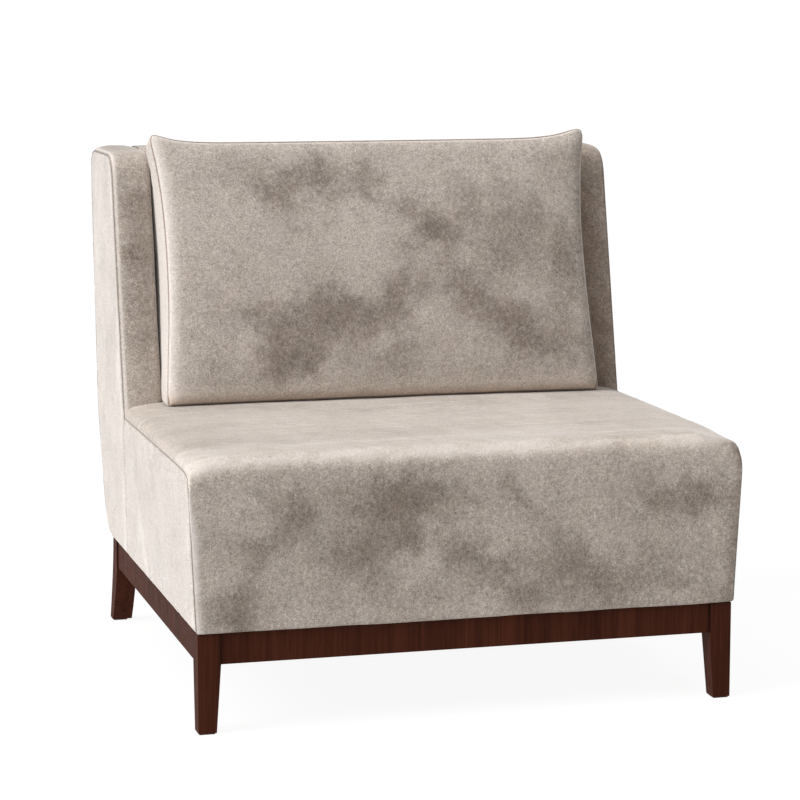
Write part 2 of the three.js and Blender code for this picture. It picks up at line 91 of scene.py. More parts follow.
def chaikin(points, times=2):
    p = np.array(points, float)
    for _ in range(times):
        q = p[:-1] * 0.75 + p[1:] * 0.25
        r = p[:-1] * 0.25 + p[1:] * 0.75
        p = np.vstack([p[:1], np.stack([q, r], 1).reshape(-1, p.shape[1]), p[-1:]])
    return p


class Line:
    """a curve through points, walked by its length"""

    def __init__(self, points, soft=0):
        p = chaikin(points, soft) if soft else np.array(points, float)
        keep = np.r_[True, np.linalg.norm(np.diff(p, axis=0), axis=1) > 1e-6]
        self.p = p[keep]
        self.s = np.r_[0, np.cumsum(np.linalg.norm(np.diff(self.p, axis=0), axis=1))]
        self.length = self.s[-1]

    def at(self, s):
        return np.stack([np.interp(s, self.s, self.p[:, k]) for k in range(self.p.shape[1])], -1)


EDGE = [0, 0.4, 0.9, 1.5, 2.3, 3.3, 4.6, 6.3, 8.8, 12.5, 18, 25]


def stations(length, step, first=True, last=True, must=()):
    """places from 0 to length, close together at a sewn end"""
    a = [e for e in (EDGE if first else [0]) if e < length * 0.45]
    b = [length - e for e in (EDGE if last else [0]) if e < length * 0.45][::-1]
    n = max(1, int(round((b[0] - a[-1]) / step)))
    mid = list(np.linspace(a[-1], b[0], n + 1)[1:-1])
    for m in must:
        mid = [x for x in mid if all(abs(x - c) > 1.6 for c in (m - 3, m, m + 3))]
        mid += [m - 3, m - 0.8, m, m + 0.8, m + 3]
    return np.array(sorted(a + mid + b))


def coons(bottom, top, left, right, s, t):
    """a grid between four curves; s and t run from 0 to 1"""
    B, T = bottom.at(s * bottom.length), top.at(s * top.length)
    L, R = left.at(t * left.length), right.at(t * right.length)
    S, U = s[:, None, None], t[None, :, None]
    return ((1 - U) * B[:, None] + U * T[:, None] + (1 - S) * L[None] + S * R[None]
            - (1 - S) * (1 - U) * B[0] - S * (1 - U) * B[-1] - (1 - S) * U * T[0] - S * U * T[-1])


def normals(P, flip=False):
    n = unit(np.cross(np.gradient(P, axis=0), np.gradient(P, axis=1)))
    return -n if flip else n


def border_distances(P):
    si = np.linalg.norm(np.diff(P, axis=0), axis=2)
    sj = np.linalg.norm(np.diff(P, axis=1), axis=2)
    i = np.concatenate([np.zeros((1, P.shape[1])), np.cumsum(si, 0)], 0)
    j = np.concatenate([np.zeros((P.shape[0], 1)), np.cumsum(sj, 1)], 1)
    return {"i0": i, "i1": i[-1:] - i, "j0": j, "j1": j[:, -1:] - j}


def quarter(t):
    """1 at a seam, falling to 0 on a quarter circle"""
    t = np.clip(t, 0, 1)
    return 1 - np.sqrt(1 - (1 - t) ** 2)


def sewn(P, flip, rolls, soft=None, puff=0.0, reach=70.0, rough=0.5, seed=1, dimple=0.25, faint=None):
    """A cover panel's own surface: it lies full in the middle and rolls in at its seams.
    rolls and soft give a radius and a depth for a border, faint how much of its seam shows."""
    N = normals(P, flip)
    d = border_distances(P)
    total = np.zeros(P.shape[:2])
    for key, (radius, depth) in rolls.items():
        total += (depth * quarter(d[key] / radius)) ** 2
    total = np.sqrt(total)
    for key, (radius, depth) in (soft or {}).items():
        total = total + depth * (1 - np.clip(d[key] / radius, 0, 1)) ** 2.2
    full = np.ones(P.shape[:2])
    near = np.full(P.shape[:2], 1e3)
    for key in rolls:
        full *= 1 - (1 - np.clip(d[key] / reach, 0, 1)) ** 2
        near = np.minimum(near, d[key])
    out = -total - puff * (1 - full)
    out += rough * (waves(seed, 150)(P) * 0.7 + waves(seed + 1, 60)(P) * 0.3) * np.clip(full * 1.3, 0, 1)
    if dimple:
        tug = waves(seed + 2, 17)(P) * waves(seed + 3, 90)(P)
        out += dimple * tug * np.exp(-((near - 6) / 5.5) ** 2)
    # seam: painted shade, a narrow dark line along each sewn border, scaled by faint
    seam = np.zeros(P.shape[:2])
    for key in rolls:
        seam = np.maximum(seam, (faint or {}).get(key, 1.0) * np.exp(-(d[key] / 1.3) ** 2))
    return P + N * out[..., None], seam


def wider(P):
    """the padding swells a cover out past the frame at its sides"""
    out = np.array(P)
    out[..., 0] += np.where(P[..., 0] > 0, 1.9, -0.7) * smooth_step((np.abs(P[..., 0]) - 415) / 40)
    return out


def round_corner(P, ia, ja, radius):
    """draws a square corner of a grid onto an arc, within the panel"""
    d = border_distances(P)
    a, b = d["i0" if ia == 0 else "i1"], d["j0" if ja == 0 else "j1"]
    ei = unit(P[1, ja] - P[0, ja]) if ia == 0 else unit(P[-2, ja] - P[-1, ja])
    ej = unit(P[ia, 1] - P[ia, 0]) if ja == 0 else unit(P[ia, -2] - P[ia, -1])
    qa, qb = np.clip(1 - a / radius, 0, 1), np.clip(1 - b / radius, 0, 1)
    m, l = np.maximum(qa, qb), np.maximum(np.hypot(qa, qb), 1e-9)
    k = np.where((qa > 0) & (qb > 0), m / l, 1.0)
    return P + ei * ((qa * (1 - k)) * radius)[..., None] + ej * ((qb * (1 - k)) * radius)[..., None]


def turned_in(P, way, fields, depth=6.0, ends=(1, 1, 1, 1)):
    """a seam allowance: the borders of a grid folded in behind it, along way"""
    pads = (tuple(ends[:2]), tuple(ends[2:]))
    Q = np.pad(P, pads + ((0, 0),), "edge")
    out = [np.pad(f, pads, "edge") for f in fields]
    way = np.broadcast_to(way, P.shape)
    way = np.pad(way, pads + ((0, 0),), "edge")
    fold = np.zeros(Q.shape[:2])
    if ends[0]:
        fold[0] = 1
    if ends[1]:
        fold[-1] = 1
    if ends[2]:
        fold[:, 0] = 1
    if ends[3]:
        fold[:, -1] = 1
    return Q + way * (fold * depth)[..., None], out


def grid_faces(n, m, closed=False, start=0, flip=False, keep=None):
    i, j = np.meshgrid(np.arange(n - 1), np.arange(m if closed else m - 1), indexing="ij")
    j2 = (j + 1) % m
    f = np.stack([i * m + j, (i + 1) * m + j, (i + 1) * m + j2, i * m + j2], -1)
    if keep is not None:
        f = f[keep]
    f = f.reshape(-1, 4) + start
    return f[:, ::-1] if flip else f


def new_object(name, verts, faces, attributes=None, smooth=True):
    """a mesh object from leg-frame millimetres"""
    co = (np.asarray(verts, float).reshape(-1, 3) + [0, SHIFT_Y, 0]) * 0.001
    me = bpy.data.meshes.new(name)
    me.from_pydata(co.tolist(), [], [list(map(int, f)) for f in faces])
    for key, values in (attributes or {}).items():
        a = me.attributes.new(key, "FLOAT", "POINT")
        a.data.foreach_set("value", np.asarray(values, np.float32).ravel())
    loose = bmesh.new()
    loose.from_mesh(me)
    bmesh.ops.delete(loose, geom=[v for v in loose.verts if not v.link_faces], context="VERTS")
    loose.to_mesh(me)
    loose.free()
    me.shade_smooth() if smooth else me.shade_flat()
    ob = bpy.data.objects.new(name, me)
    bpy.context.scene.collection.objects.link(ob)
    return ob


def shell(ob, thickness):
    m = ob.modifiers.new("thickness", "SOLIDIFY")
    m.thickness = thickness * 0.001
    m.offset = -1
    m.use_rim = True
    m.use_quality_normals = True
    return ob


def place(ob, body, material, nodes=()):
    ob.data.materials.clear()
    ob.data.materials.append(material)
    if nodes:
        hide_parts(*nodes)
    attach(ob, body)
    return ob


# ------------------------------------------------------------------- materials
def linear(*rgb):
    return tuple((c / 255 / 12.92) if c / 255 <= 0.04045 else ((c / 255 + 0.055) / 1.055) ** 2.4
                 for c in rgb) + (1.0,)


class Nodes:
    def __init__(self, name):
        self.m = bpy.data.materials.new(name)
        self.m.use_nodes = True
        self.t = self.m.node_tree
        self.t.nodes.clear()
        self.out = self.add("ShaderNodeOutputMaterial")
        self.shader = self.add("ShaderNodeBsdfPrincipled")
        self.link(self.shader.outputs[0], self.out.inputs[0])
        self.co = self.add("ShaderNodeTexCoord").outputs["Object"]

    def add(self, kind, **props):
        n = self.t.nodes.new(kind)
        for k, v in props.items():
            setattr(n, k, v)
        return n

    def link(self, a, b):
        self.t.links.new(a, b)

    def put(self, value, socket):
        if isinstance(value, bpy.types.NodeSocket):
            self.link(value, socket)
        else:
            socket.default_value = value

    def map(self, scale=(1, 1, 1), move=(0, 0, 0), turn=(0, 0, 0), vector=None):
        n = self.add("ShaderNodeMapping")
        self.put(vector or self.co, n.inputs["Vector"])
        n.inputs["Scale"].default_value = scale
        n.inputs["Location"].default_value = move
        n.inputs["Rotation"].default_value = turn
        return n.outputs[0]

    def noise(self, vector, scale, detail=3.0, rough=0.5, distortion=0.0):
        n = self.add("ShaderNodeTexNoise")
        self.put(vector, n.inputs["Vector"])
        n.inputs["Scale"].default_value = scale
        n.inputs["Detail"].default_value = detail
        n.inputs["Roughness"].default_value = rough
        n.inputs["Distortion"].default_value = distortion
        return n.outputs["Fac"]

    def voronoi(self, vector, scale, feature="F1"):
        n = self.add("ShaderNodeTexVoronoi", feature=feature)
        self.put(vector, n.inputs["Vector"])
        n.inputs["Scale"].default_value = scale
        return n.outputs["Distance"]

    def math(self, op, a, b=0.0, c=0.0, clamp=False):
        n = self.add("ShaderNodeMath", operation=op, use_clamp=clamp)
        self.put(a, n.inputs[0])
        self.put(b, n.inputs[1])
        if op in ("MULTIPLY_ADD",):
            self.put(c, n.inputs[2])
        return n.outputs[0]

    def span(self, value, lo, hi, to_lo=0.0, to_hi=1.0, kind="SMOOTHSTEP"):
        n = self.add("ShaderNodeMapRange", interpolation_type=kind)
        self.put(value, n.inputs["Value"])
        n.inputs["From Min"].default_value = lo
        n.inputs["From Max"].default_value = hi
        n.inputs["To Min"].default_value = to_lo
        n.inputs["To Max"].default_value = to_hi
        return n.outputs[0]

    def mix(self, fac, a, b, blend="MIX"):
        n = self.add("ShaderNodeMix", data_type="RGBA", blend_type=blend)
        self.put(fac, n.inputs[0])
        self.put(a, n.inputs[6])
        self.put(b, n.inputs[7])
        return n.outputs[2]

    def attribute(self, name):
        return self.add("ShaderNodeAttribute", attribute_name=name).outputs["Fac"]

    def scaled(self, colour, value):
        """colour times a grey value"""
        n = self.add("ShaderNodeVectorMath", operation="SCALE")
        self.put(colour, n.inputs[0])
        self.put(value, n.inputs["Scale"])
        return n.outputs[0]

    def bump(self, height, strength, distance):
        n = self.add("ShaderNodeBump")
        n.inputs["Strength"].default_value = strength
        n.inputs["Distance"].default_value = distance
        self.put(height, n.inputs["Height"])
        self.link(n.outputs[0], self.shader.inputs["Normal"])

    def set(self, **values):
        names = {"base": "Base Color", "rough": "Roughness", "metal": "Metallic", "spec": "Specular IOR Level",
                 "sheen": "Sheen Weight", "sheen_rough": "Sheen Roughness", "sheen_tint": "Sheen Tint",
                 "coat": "Coat Weight", "coat_rough": "Coat Roughness", "ior": "IOR"}
        for k, v in values.items():
            self.put(v, self.shader.inputs[names[k]])
        return self.m


def velvet(name, move=(0, 0, 0), amount=1.0, bias=0.0, tone=1.0, ragged=1.0, seam_shade=0.72,
           crush=1.0, pale=(179, 169, 160), sheen=0.7):
    """crushed velvet: pale greige with darker brushed clouds, a fine crushed pile and faint threads"""
    n = Nodes(name)
    co = n.map(move=move)
    cloud = n.noise(co, 9.0, 5, 0.55, 0.35)
    edge = n.noise(co, 46.0, 5, 0.68, 0.5)
    fleck = n.noise(n.map(scale=(1, 1, 0.8), move=(3.1, 1.7, 0.4)), 150.0, 4, 0.7, 0.3)
    # patch: above zero it paints the dark brushed clouds and painted shade, below zero light clouds and painted light
    patch = n.attribute("patch")
    v = n.math("MULTIPLY_ADD", patch, 1.0 * amount, bias)
    v = n.math("ADD", v, n.span(cloud, 0.3, 0.7, -0.19, 0.19, "LINEAR"))
    v = n.math("ADD", v, n.span(edge, 0.25, 0.75, -0.14 * ragged, 0.14 * ragged, "LINEAR"))
    v = n.math("ADD", v, n.span(fleck, 0.25, 0.75, -0.33 * ragged, 0.33 * ragged, "LINEAR"))
    mask = n.span(v, -0.35, 1.25)
    # the pile: short crushed strokes, threads both ways
    worm = n.noise(co, 210.0, 3, 0.6, 2.2)
    curl = n.math("ABSOLUTE", n.math("SUBTRACT", n.noise(n.map(move=(5.5, 2.5, 1.5)), 104.0, 2, 0.5, 2.8), 0.5))
    curl = n.span(curl, 0.0, 0.07, 1.0, 0.0, "LINEAR")
    fine = n.noise(co, 560.0, 2, 0.6, 0.8)
    up = n.noise(n.map(scale=(620, 620, 60)), 1.0, 2, 0.5)
    over = n.noise(n.map(scale=(60, 60, 620)), 1.0, 2, 0.5)
    pile = n.math("ADD", n.span(worm, 0.28, 0.72, -0.33, 0.33, "LINEAR"),
                  n.span(fine, 0.3, 0.7, -0.11, 0.11, "LINEAR"))
    pile = n.math("ADD", pile, n.math("MULTIPLY_ADD", curl, 0.42, -0.135))
    pile = n.math("MULTIPLY", pile, n.span(patch, -0.9, -0.3, 0.55, 1.0, "LINEAR"))
    pile = n.math("MULTIPLY", pile, n.math("MULTIPLY_ADD", n.attribute("nap"), -0.25 * crush, crush))
    threads = n.math("ADD", n.span(up, 0.3, 0.7, -0.035, 0.035, "LINEAR"),
                     n.span(over, 0.3, 0.7, -0.03, 0.03, "LINEAR"))
    # below -0.2 the patch brightens the pile up to 1.27 times: light clouds and painted highlights alike
    gain = n.math("ADD", n.math("ADD", pile, threads), n.span(patch, -1.1, -0.2, tone * 1.27, tone, "LINEAR"))
    # painted shade in the seam grooves: the seam attribute darkens the pile here and browns it below
    seam = n.attribute("seam")
    gain = n.math("MULTIPLY", gain, n.math("MULTIPLY_ADD", seam, -seam_shade, 1.0))
    colour = n.mix(mask, linear(*pale), linear(108, 97, 88))
    colour = n.mix(n.span(n.noise(co, 30.0, 2, 0.5), 0.35, 0.7, 0.0, 0.10), colour, linear(178, 156, 138))
    # painted highlights turn a neutral white-grey
    colour = n.mix(n.math("MULTIPLY", n.span(patch, -0.9, -0.25, 0.6, 0.0, "LINEAR"), 1.0), colour, linear(186, 180, 176))
    # painted bounce light: a warm tint where light thrown back off the cream cloth would fall
    colour = n.mix(n.math("MULTIPLY", n.attribute("painted_bounce"), 0.36), colour, linear(186, 158, 134))
    # painted shade: dark brown deep in the crevice and over the shaded right wing
    colour = n.mix(n.math("MULTIPLY", n.attribute("painted_deep_shade"), 0.85), colour, linear(62, 44, 34))
    # painted seam shade, browned
    colour = n.mix(n.math("MULTIPLY", seam, 0.5), colour, linear(112, 84, 64))
    n.bump(n.math("ADD", n.math("MULTIPLY", worm, 0.8), n.math("MULTIPLY", fine, 0.35)), 0.35, 0.0007)
    return n.set(base=n.scaled(colour, gain), rough=0.86, spec=0.12, sheen=sheen, sheen_rough=0.4,
                 sheen_tint=(1.0, 0.98, 0.96, 1.0))


def wood(name, light=(78, 41, 28), dark=(40, 18, 11), rough=0.55):
    """stained wood with an upright grain, pores and a satin finish"""
    n = Nodes(name)
    streak = n.noise(n.map(scale=(230, 230, 6.0)), 1.0, 6, 0.66, 0.7)
    fine = n.noise(n.map(scale=(620, 620, 16)), 1.0, 4, 0.6, 0.3)
    broad = n.noise(n.map(scale=(34, 34, 3.0)), 1.0, 3, 0.5, 0.5)
    t = n.math("ADD", n.span(streak, 0.3, 0.72, 0, 0.62, "LINEAR"), n.span(broad, 0.3, 0.7, 0, 0.38, "LINEAR"))
    colour = n.mix(t, linear(*dark), linear(*light))
    pores = n.span(fine, 0.58, 0.72)
    colour = n.mix(n.math("MULTIPLY", pores, 0.45), colour, linear(30, 14, 9))
    # painted shade where a rail butts against a leg: a dark line in the step between them
    sep = n.add("ShaderNodeSeparateXYZ")
    n.link(n.co, sep.inputs[0])
    ax = n.math("ABSOLUTE", sep.outputs[0])
    ay = n.math("ABSOLUTE", n.math("SUBTRACT", sep.outputs[1], SHIFT_Y * 0.001))
    dx = n.math("ABSOLUTE", n.math("SUBTRACT", ax, 0.4130))
    dy = n.math("ABSOLUTE", n.math("SUBTRACT", ay, 0.3686))
    near = n.span(n.math("MINIMUM", dx, dy), 0.0004, 0.0019, 0.72, 0.0)
    high = n.span(sep.outputs[2], 0.1125, 0.1135, 0.0, 1.0, "LINEAR")
    colour = n.mix(n.math("MULTIPLY", near, high), colour, linear(14, 7, 5))
    wear = n.noise(n.co, 60, 4, 0.7)
    n.bump(n.math("MULTIPLY_ADD", pores, -0.7, n.math("MULTIPLY", streak, 0.4)), 0.25, 0.0004)
    return n.set(base=colour, rough=n.span(wear, 0.3, 0.7, rough - 0.05, rough + 0.09, "LINEAR"),
                 spec=0.03)


def plain_wood(name, light, dark, along, rough=0.62):
    n = Nodes(name)
    scale = {"x": (6, 90, 90), "y": (90, 6, 90), "z": (90, 90, 6)}[along]
    ring = n.noise(n.map(scale=scale), 1.0, 5, 0.6, 1.1)
    pore = n.noise(n.map(scale=tuple(c * 5 for c in scale)), 1.0, 3, 0.6)
    colour = n.mix(n.span(ring, 0.3, 0.7), linear(*dark), linear(*light))
    colour = n.mix(n.span(pore, 0.6, 0.75, 0, 0.35), colour, linear(120, 88, 54))
    n.bump(ring, 0.2, 0.0005)
    return n.set(base=colour, rough=n.span(pore, 0.3, 0.7, rough - 0.06, rough + 0.08, "LINEAR"), spec=0.3)


def foam_look(name, colour, other, scale=420.0, rough=0.95):
    n = Nodes(name)
    cell = n.voronoi(n.co, scale)
    blot = n.noise(n.co, 26, 4, 0.6)
    c = n.mix(n.span(blot, 0.35, 0.65), linear(*colour), linear(*other))
    n.bump(cell, 0.5, 0.0012)
    return n.set(base=n.scaled(c, n.span(cell, 0.0, 0.6, 0.86, 1.04, "LINEAR")), rough=rough, spec=0.15)


def fibre_look(name, colour, other):
    n = Nodes(name)
    strand = n.noise(n.map(scale=(90, 90, 240)), 1.0, 6, 0.75, 2.4)
    lump = n.noise(n.co, 18, 3, 0.5)
    c = n.mix(n.span(strand, 0.35, 0.7), linear(*other), linear(*colour))
    n.bump(n.math("ADD", strand, lump), 0.5, 0.002)
    return n.set(base=c, rough=0.97, spec=0.1, sheen=0.2, sheen_rough=0.6)


def woven(name, warp, weft, size, across="x", rough=0.9, strength=0.5):
    """a plain weave of two threads"""
    n = Nodes(name)
    sep = n.add("ShaderNodeSeparateXYZ")
    n.link(n.map(scale=(1 / size,) * 3), sep.inputs[0])
    a, b = {"x": (0, 2), "y": (0, 1)}[across]
    wa = n.math("SINE", n.math("MULTIPLY", sep.outputs[a], math.pi))
    wb = n.math("SINE", n.math("MULTIPLY", sep.outputs[b], math.pi))
    over = n.math("MULTIPLY", wa, wb)
    hair = n.noise(n.co, 900, 3, 0.6)
    shade = n.noise(n.co, 14, 3, 0.5)
    c = n.mix(n.span(over, -0.35, 0.35), linear(*warp), linear(*weft))
    c = n.scaled(c, n.math("ADD", n.span(shade, 0.3, 0.7, 0.9, 1.06, "LINEAR"),
                           n.span(hair, 0.3, 0.7, -0.07, 0.07, "LINEAR")))
    n.bump(n.math("ADD", over, hair), strength, 0.0004)
    return n.set(base=c, rough=rough, spec=0.2)


def metal(name, colour, rough, grain=500.0, metallic=1.0):
    n = Nodes(name)
    a = n.noise(n.co, grain, 4, 0.6)
    b = n.noise(n.co, 40, 3, 0.5)
    c = n.mix(n.span(b, 0.35, 0.65), linear(*colour), linear(*[int(v * 0.82) for v in colour]))
    n.bump(a, 0.08, 0.0002)
    return n.set(base=c, metal=metallic, rough=n.span(a, 0.3, 0.7, rough - 0.06, rough + 0.1, "LINEAR"), spec=0.5)


def plastic(name, colour, rough=0.5):
    n = Nodes(name)
    a = n.noise(n.co, 1200, 2, 0.5)
    b = n.noise(n.co, 70, 3, 0.5)
    c = n.mix(n.span(b, 0.3, 0.7), linear(*colour), linear(*[min(255, int(v * 1.35) + 3) for v in colour]))
    n.bump(a, 0.25, 0.0002)
    return n.set(base=c, rough=n.span(b, 0.3, 0.7, rough - 0.05, rough + 0.1, "LINEAR"), spec=0.4)


def felt_look(name, colour, other):
    n = Nodes(name)
    a = n.noise(n.co, 260, 6, 0.8, 1.5)
    b = n.noise(n.co, 30, 3, 0.5)
    c = n.mix(n.span(a, 0.35, 0.7), linear(*colour), linear(*other))
    n.bump(a, 0.6, 0.0008)
    return n.set(base=n.scaled(c, n.span(b, 0.3, 0.7, 0.88, 1.08, "LINEAR")), rough=0.97, spec=0.12)


espresso = wood("espresso_wood")
frame_wood = plain_wood("frame_wood", (206, 172, 124), (176, 138, 92), "x")
plywood = plain_wood("plywood", (212, 184, 138), (188, 154, 108), "z")
plywood_y = plain_wood("plywood_along", (212, 184, 138), (188, 154, 108), "y")
foam_seat = foam_look("foam", (236, 226, 196), (226, 214, 180))
fibre = fibre_look("fibre_fill", (240, 238, 232), (222, 219, 211))
wadding = fibre_look("wadding", (236, 234, 228), (216, 212, 204))
felt = felt_look("felt", (96, 92, 90), (62, 60, 62))
spring_steel = metal("spring_steel", (150, 152, 154), 0.34)
bolt_steel = metal("bolt_steel", (186, 188, 190), 0.30)
zip_metal = metal("zip_metal", (168, 160, 146), 0.32)
glide_plastic = plastic("glide_plastic", (46, 27, 21))
webbing = woven("webbing", (138, 120, 92), (96, 84, 66), 0.0016)
tape_cloth = woven("zip_tape_cloth", (158, 149, 138), (134, 126, 116), 0.0011, "y")
dust_cloth = woven("dust_cloth", (34, 33, 34), (24, 23, 24), 0.0016, "y", 0.95, 0.35)

# --------------------------------------------------------------- cloud placing
def painted_rim_highlight(d, at=4.2, width=2.0):
    """painted highlight: the pile made lighter along the rolled rim of a seam, where it catches the light"""
    return 0.9 * np.exp(-((d - at) / width) ** 2)


def blobs(strokes, P, to_plane):
    """soft dark clouds of a panel, brushed from (a, b) to (a2, b2) of its own plane, with a radius and a strength"""
    a, b = to_plane(P)
    a = a + waves(91, 46)(P) * 6 + waves(93, 20)(P) * 3
    b = b + waves(92, 46)(P) * 6 + waves(94, 20)(P) * 3
    bare, light = np.ones(P.shape[:-1]), np.zeros(P.shape[:-1])
    for (a1, b1, a2, b2, r, k) in strokes:
        t = np.clip(((a - a1) * (a2 - a1) + (b - b1) * (b2 - b1)) / max((a2 - a1) ** 2 + (b2 - b1) ** 2, 1e-6), 0, 1)
        g = np.exp(-0.66 * ((a - a1 - t * (a2 - a1)) ** 2 + (b - b1 - t * (b2 - b1)) ** 2) / r ** 2)
        if k > 0:
            bare *= 1 - 0.78 * min(k, 1) * g
        else:
            light = np.maximum(light, -k * g)
    return (1 - bare) * 0.85 - light


CLOUDS_CUSHION = [
    (-328, 403, -283, 407, 27, 0.35), (-237, 410, -185, 378, 27, 0.45), (-190, 365, -173, 351, 25, 0.75),
    (-185, 378, -111, 399, 23, 0.6), (-110, 404, -98, 377, 25, 0.6), (-98, 377, -28, 389, 22, 0.5),
    (-33, 394, -15, 371, 18, 0.65), (-3, 348, 62, 338, 23, 0.6), (-161, 306, -135, 297, 13, 0.4),
    (-88, 309, -87, 308, 9, 0.5), (61, 328, 124, 286, 22, 0.55), (96, 291, 128, 277, 20, 0.9),
    (130, 382, 175, 354, 18, 0.3), (173, 317, 226, 261, 36, 0.6), (229, 307, 305, 305, 31, 0.55),
    (226, 252, 320, 241, 40, 0.65), (343, 286, 347, 212, 23, 0.5), (38, 257, 47, 175, 18, 0.6),
    (76, 192, 90, 183, 16, 0.55), (120, 227, 173, 162, 27, 0.7), (173, 162, 245, 106, 31, 0.75),
    (237, 133, 274, 114, 27, 0.85), (272, 87, 309, 67, 25, 0.7), (334, 158, 355, 102, 25, 0.6),
    (348, 75, 366, 47, 22, 0.5), (127, 173, 162, 136, 22, 0.5), (-323, 159, -243, 148, 36, 0.4),
    (-243, 139, -199, 120, 25, 0.7), (-199, 120, -203, 49, 31, 0.75), (-152, 145, -43, 137, 31, 0.9),
    (-81, 116, -128, 91, 31, 0.85), (-175, 66, -139, 56, 23, 0.7), (-43, 142, 24, 167, 27, 0.8),
    (21, 131, 35, 202, 20, 0.6), (-17, 114, 8, 68, 23, 0.6), (-318, 88, -311, 44, 31, 0.45),
    (-122, 198, -105, 179, 22, 0.4), (-282, 255, -221, 209, 27, 0.25), (-336, 248, -329, 212, 27, 0.25),
    (32, 76, 44, 49, 18, 0.4), (233, 362, 287, 324, 27, 0.35), (65, 84, 122, 92, 18, 0.25),
    (322, 415, 380, 414, 22, 0.35), (366, 350, 373, 304, 18, 0.35), (-4, 91, -3, 90, 11, -0.6),
    (-98, 59, -97, 58, 11, -0.4), (-251, 86, -250, 85, 22, -0.4), (298, 45, 300, 44, 16, -0.3),
    (-27, 258, -10, 231, 45, -0.25), (96, 138, 113, 110, 31, -0.25),
]
CLOUDS_FRONT = [
    (-446, 200, -383, 184, 31, 0.85), (-422, 211, -398, 197, 23, 0.8), (-370, 216, -358, 263, 13, 0.5),
    (-358, 295, -301, 324, 22, 0.65), (-317, 373, -276, 355, 23, 0.75), (-309, 341, -284, 372, 20, 0.6),
    (-236, 393, -203, 376, 27, 0.7), (-211, 344, -162, 349, 23, 0.55), (-146, 380, -88, 377, 24, 0.85),
    (-121, 372, -113, 314, 31, 1), (-113, 363, -63, 353, 23, 0.8), (-228, 304, -195, 294, 20, 0.6),
    (-212, 271, -171, 261, 23, 0.85), (-179, 294, -121, 307, 23, 0.8), (-46, 303, -21, 277, 22, 0.85),
    (-21, 269, 38, 241, 23, 0.85), (-13, 383, -13, 358, 14, 0.7), (46, 257, 55, 248, 16, 0.75),
    (54, 388, 96, 345, 9, 0.7), (89, 263, 106, 245, 18, 0.6), (122, 302, 174, 266, 25, 0.65),
    (148, 243, 183, 216, 27, 0.75), (80, 197, 106, 187, 22, 0.95), (46, 216, 72, 206, 14, 0.5),
    (247, 267, 250, 258, 9, 0.8), (243, 213, 295, 226, 27, 0.75), (226, 197, 261, 186, 22, 0.7),
    (302, 384, 328, 358, 22, 0.7), (320, 346, 390, 338, 25, 0.8), (364, 331, 398, 355, 20, 0.7),
    (339, 203, 353, 198, 18, 0.6), (401, 187, 419, 169, 20, 0.5), (138, 392, 143, 383, 11, 0.45),
    (-96, 220, -92, 215, 9, 0.7), (-171, 220, -154, 211, 18, 0.35), (-71, 206, -46, 213, 14, 0.3),
    (-444, 400, -350, 400, 18, 0.4), (-80, 321, -63, 312, 13, -0.4), (191, 257, 209, 231, 18, 0.4),
]


CLOUDS_WING = [(424, 800, 420, 730, 26, 0.7), (430, 700, 415, 650, 28, 0.85), (440, 640, 430, 560, 30, 0.7),
               (415, 560, 425, 480, 30, 0.75), (400, 790, 398, 600, 20, 0.5), (430, 450, 410, 440, 26, 0.5)]


def scatter(seed, count, lo, hi, low=22, high=48, strong=0.85):
    """strokes of the same kind where no picture tells: cloud by cloud, in loose drifts"""
    rng = np.random.RandomState(seed)
    out = []
    for _ in range(count):
        a, b = rng.uniform(lo[0], hi[0]), rng.uniform(lo[1], hi[1])
        turn, reach = rng.uniform(0, math.pi), rng.uniform(10, 90)
        out.append((a, b, a + reach * math.cos(turn), b + reach * math.sin(turn), rng.uniform(low, high) * 0.8,
                    rng.uniform(0.3, strong)))
    return out


# ------------------------------------------------------------------ seat covers
seat_line = [(289.5, SEAT_TOP), (SEAT_FRONT + SEAT_ROUND, SEAT_TOP)]
for k in range(1, 25):
    a = math.radians(90 + 90 * k / 24)
    seat_line.append((SEAT_FRONT + SEAT_ROUND + SEAT_ROUND * math.cos(a),
                      SEAT_TOP - SEAT_ROUND + SEAT_ROUND * math.sin(a)))
HEM, HEM_LOW = 4.0, FABRIC_BOTTOM - 1.3
for k in range(9):
    a = math.radians(180 + 90 * k / 8)
    seat_line.append((SEAT_FRONT + HEM + HEM * math.cos(a), HEM_LOW + HEM + HEM * math.sin(a)))
seat_line.append((SEAT_FRONT + 7.4, HEM_LOW + 0.1))
seat_line = Line(seat_line)

_cx = np.linspace(0, 500, 1001)
_cd = np.interp(_cx, [0, 250, 350, 405, 430, 445, 455, 460, 463.4, 500],
                [0, 0.4, 1.2, 2.8, 5.0, 8.0, 12.4, 18.0, 32.0, 120.0])
_cd = np.convolve(np.r_[_cd[40:0:-1], _cd, _cd[-1] + np.arange(1, 41) * (_cd[-1] - _cd[-2])],
                  np.hanning(17) / np.hanning(17).sum(), "same")[40:-40]


def crown_drop(x):
    return np.interp(np.abs(x), _cx, _cd)


def seat_surface(x, yz):
    """x at full width and a point of the seat's line, to the crowned surface"""
    y, z = yz[..., 0], yz[..., 1]
    t = np.clip((z - 300) / (SEAT_TOP - 40 - 300), 0, 1)
    ahead = y - SEAT_FRONT - 8
    corner_l = 3.0 * smooth_step((-x - 424) / 36) * np.exp(-(ahead / 48) ** 2)
    corner_r = (7.0 * smooth_step((x - 385) / 50) - 4.0 * smooth_step((x - 451) / 11)) * np.exp(-(ahead / 112) ** 2)
    z = z - (crown_drop(x) + corner_l + corner_r) * t
    return np.stack([x * half_at(z) / HALF_HIGH, y, z], -1)


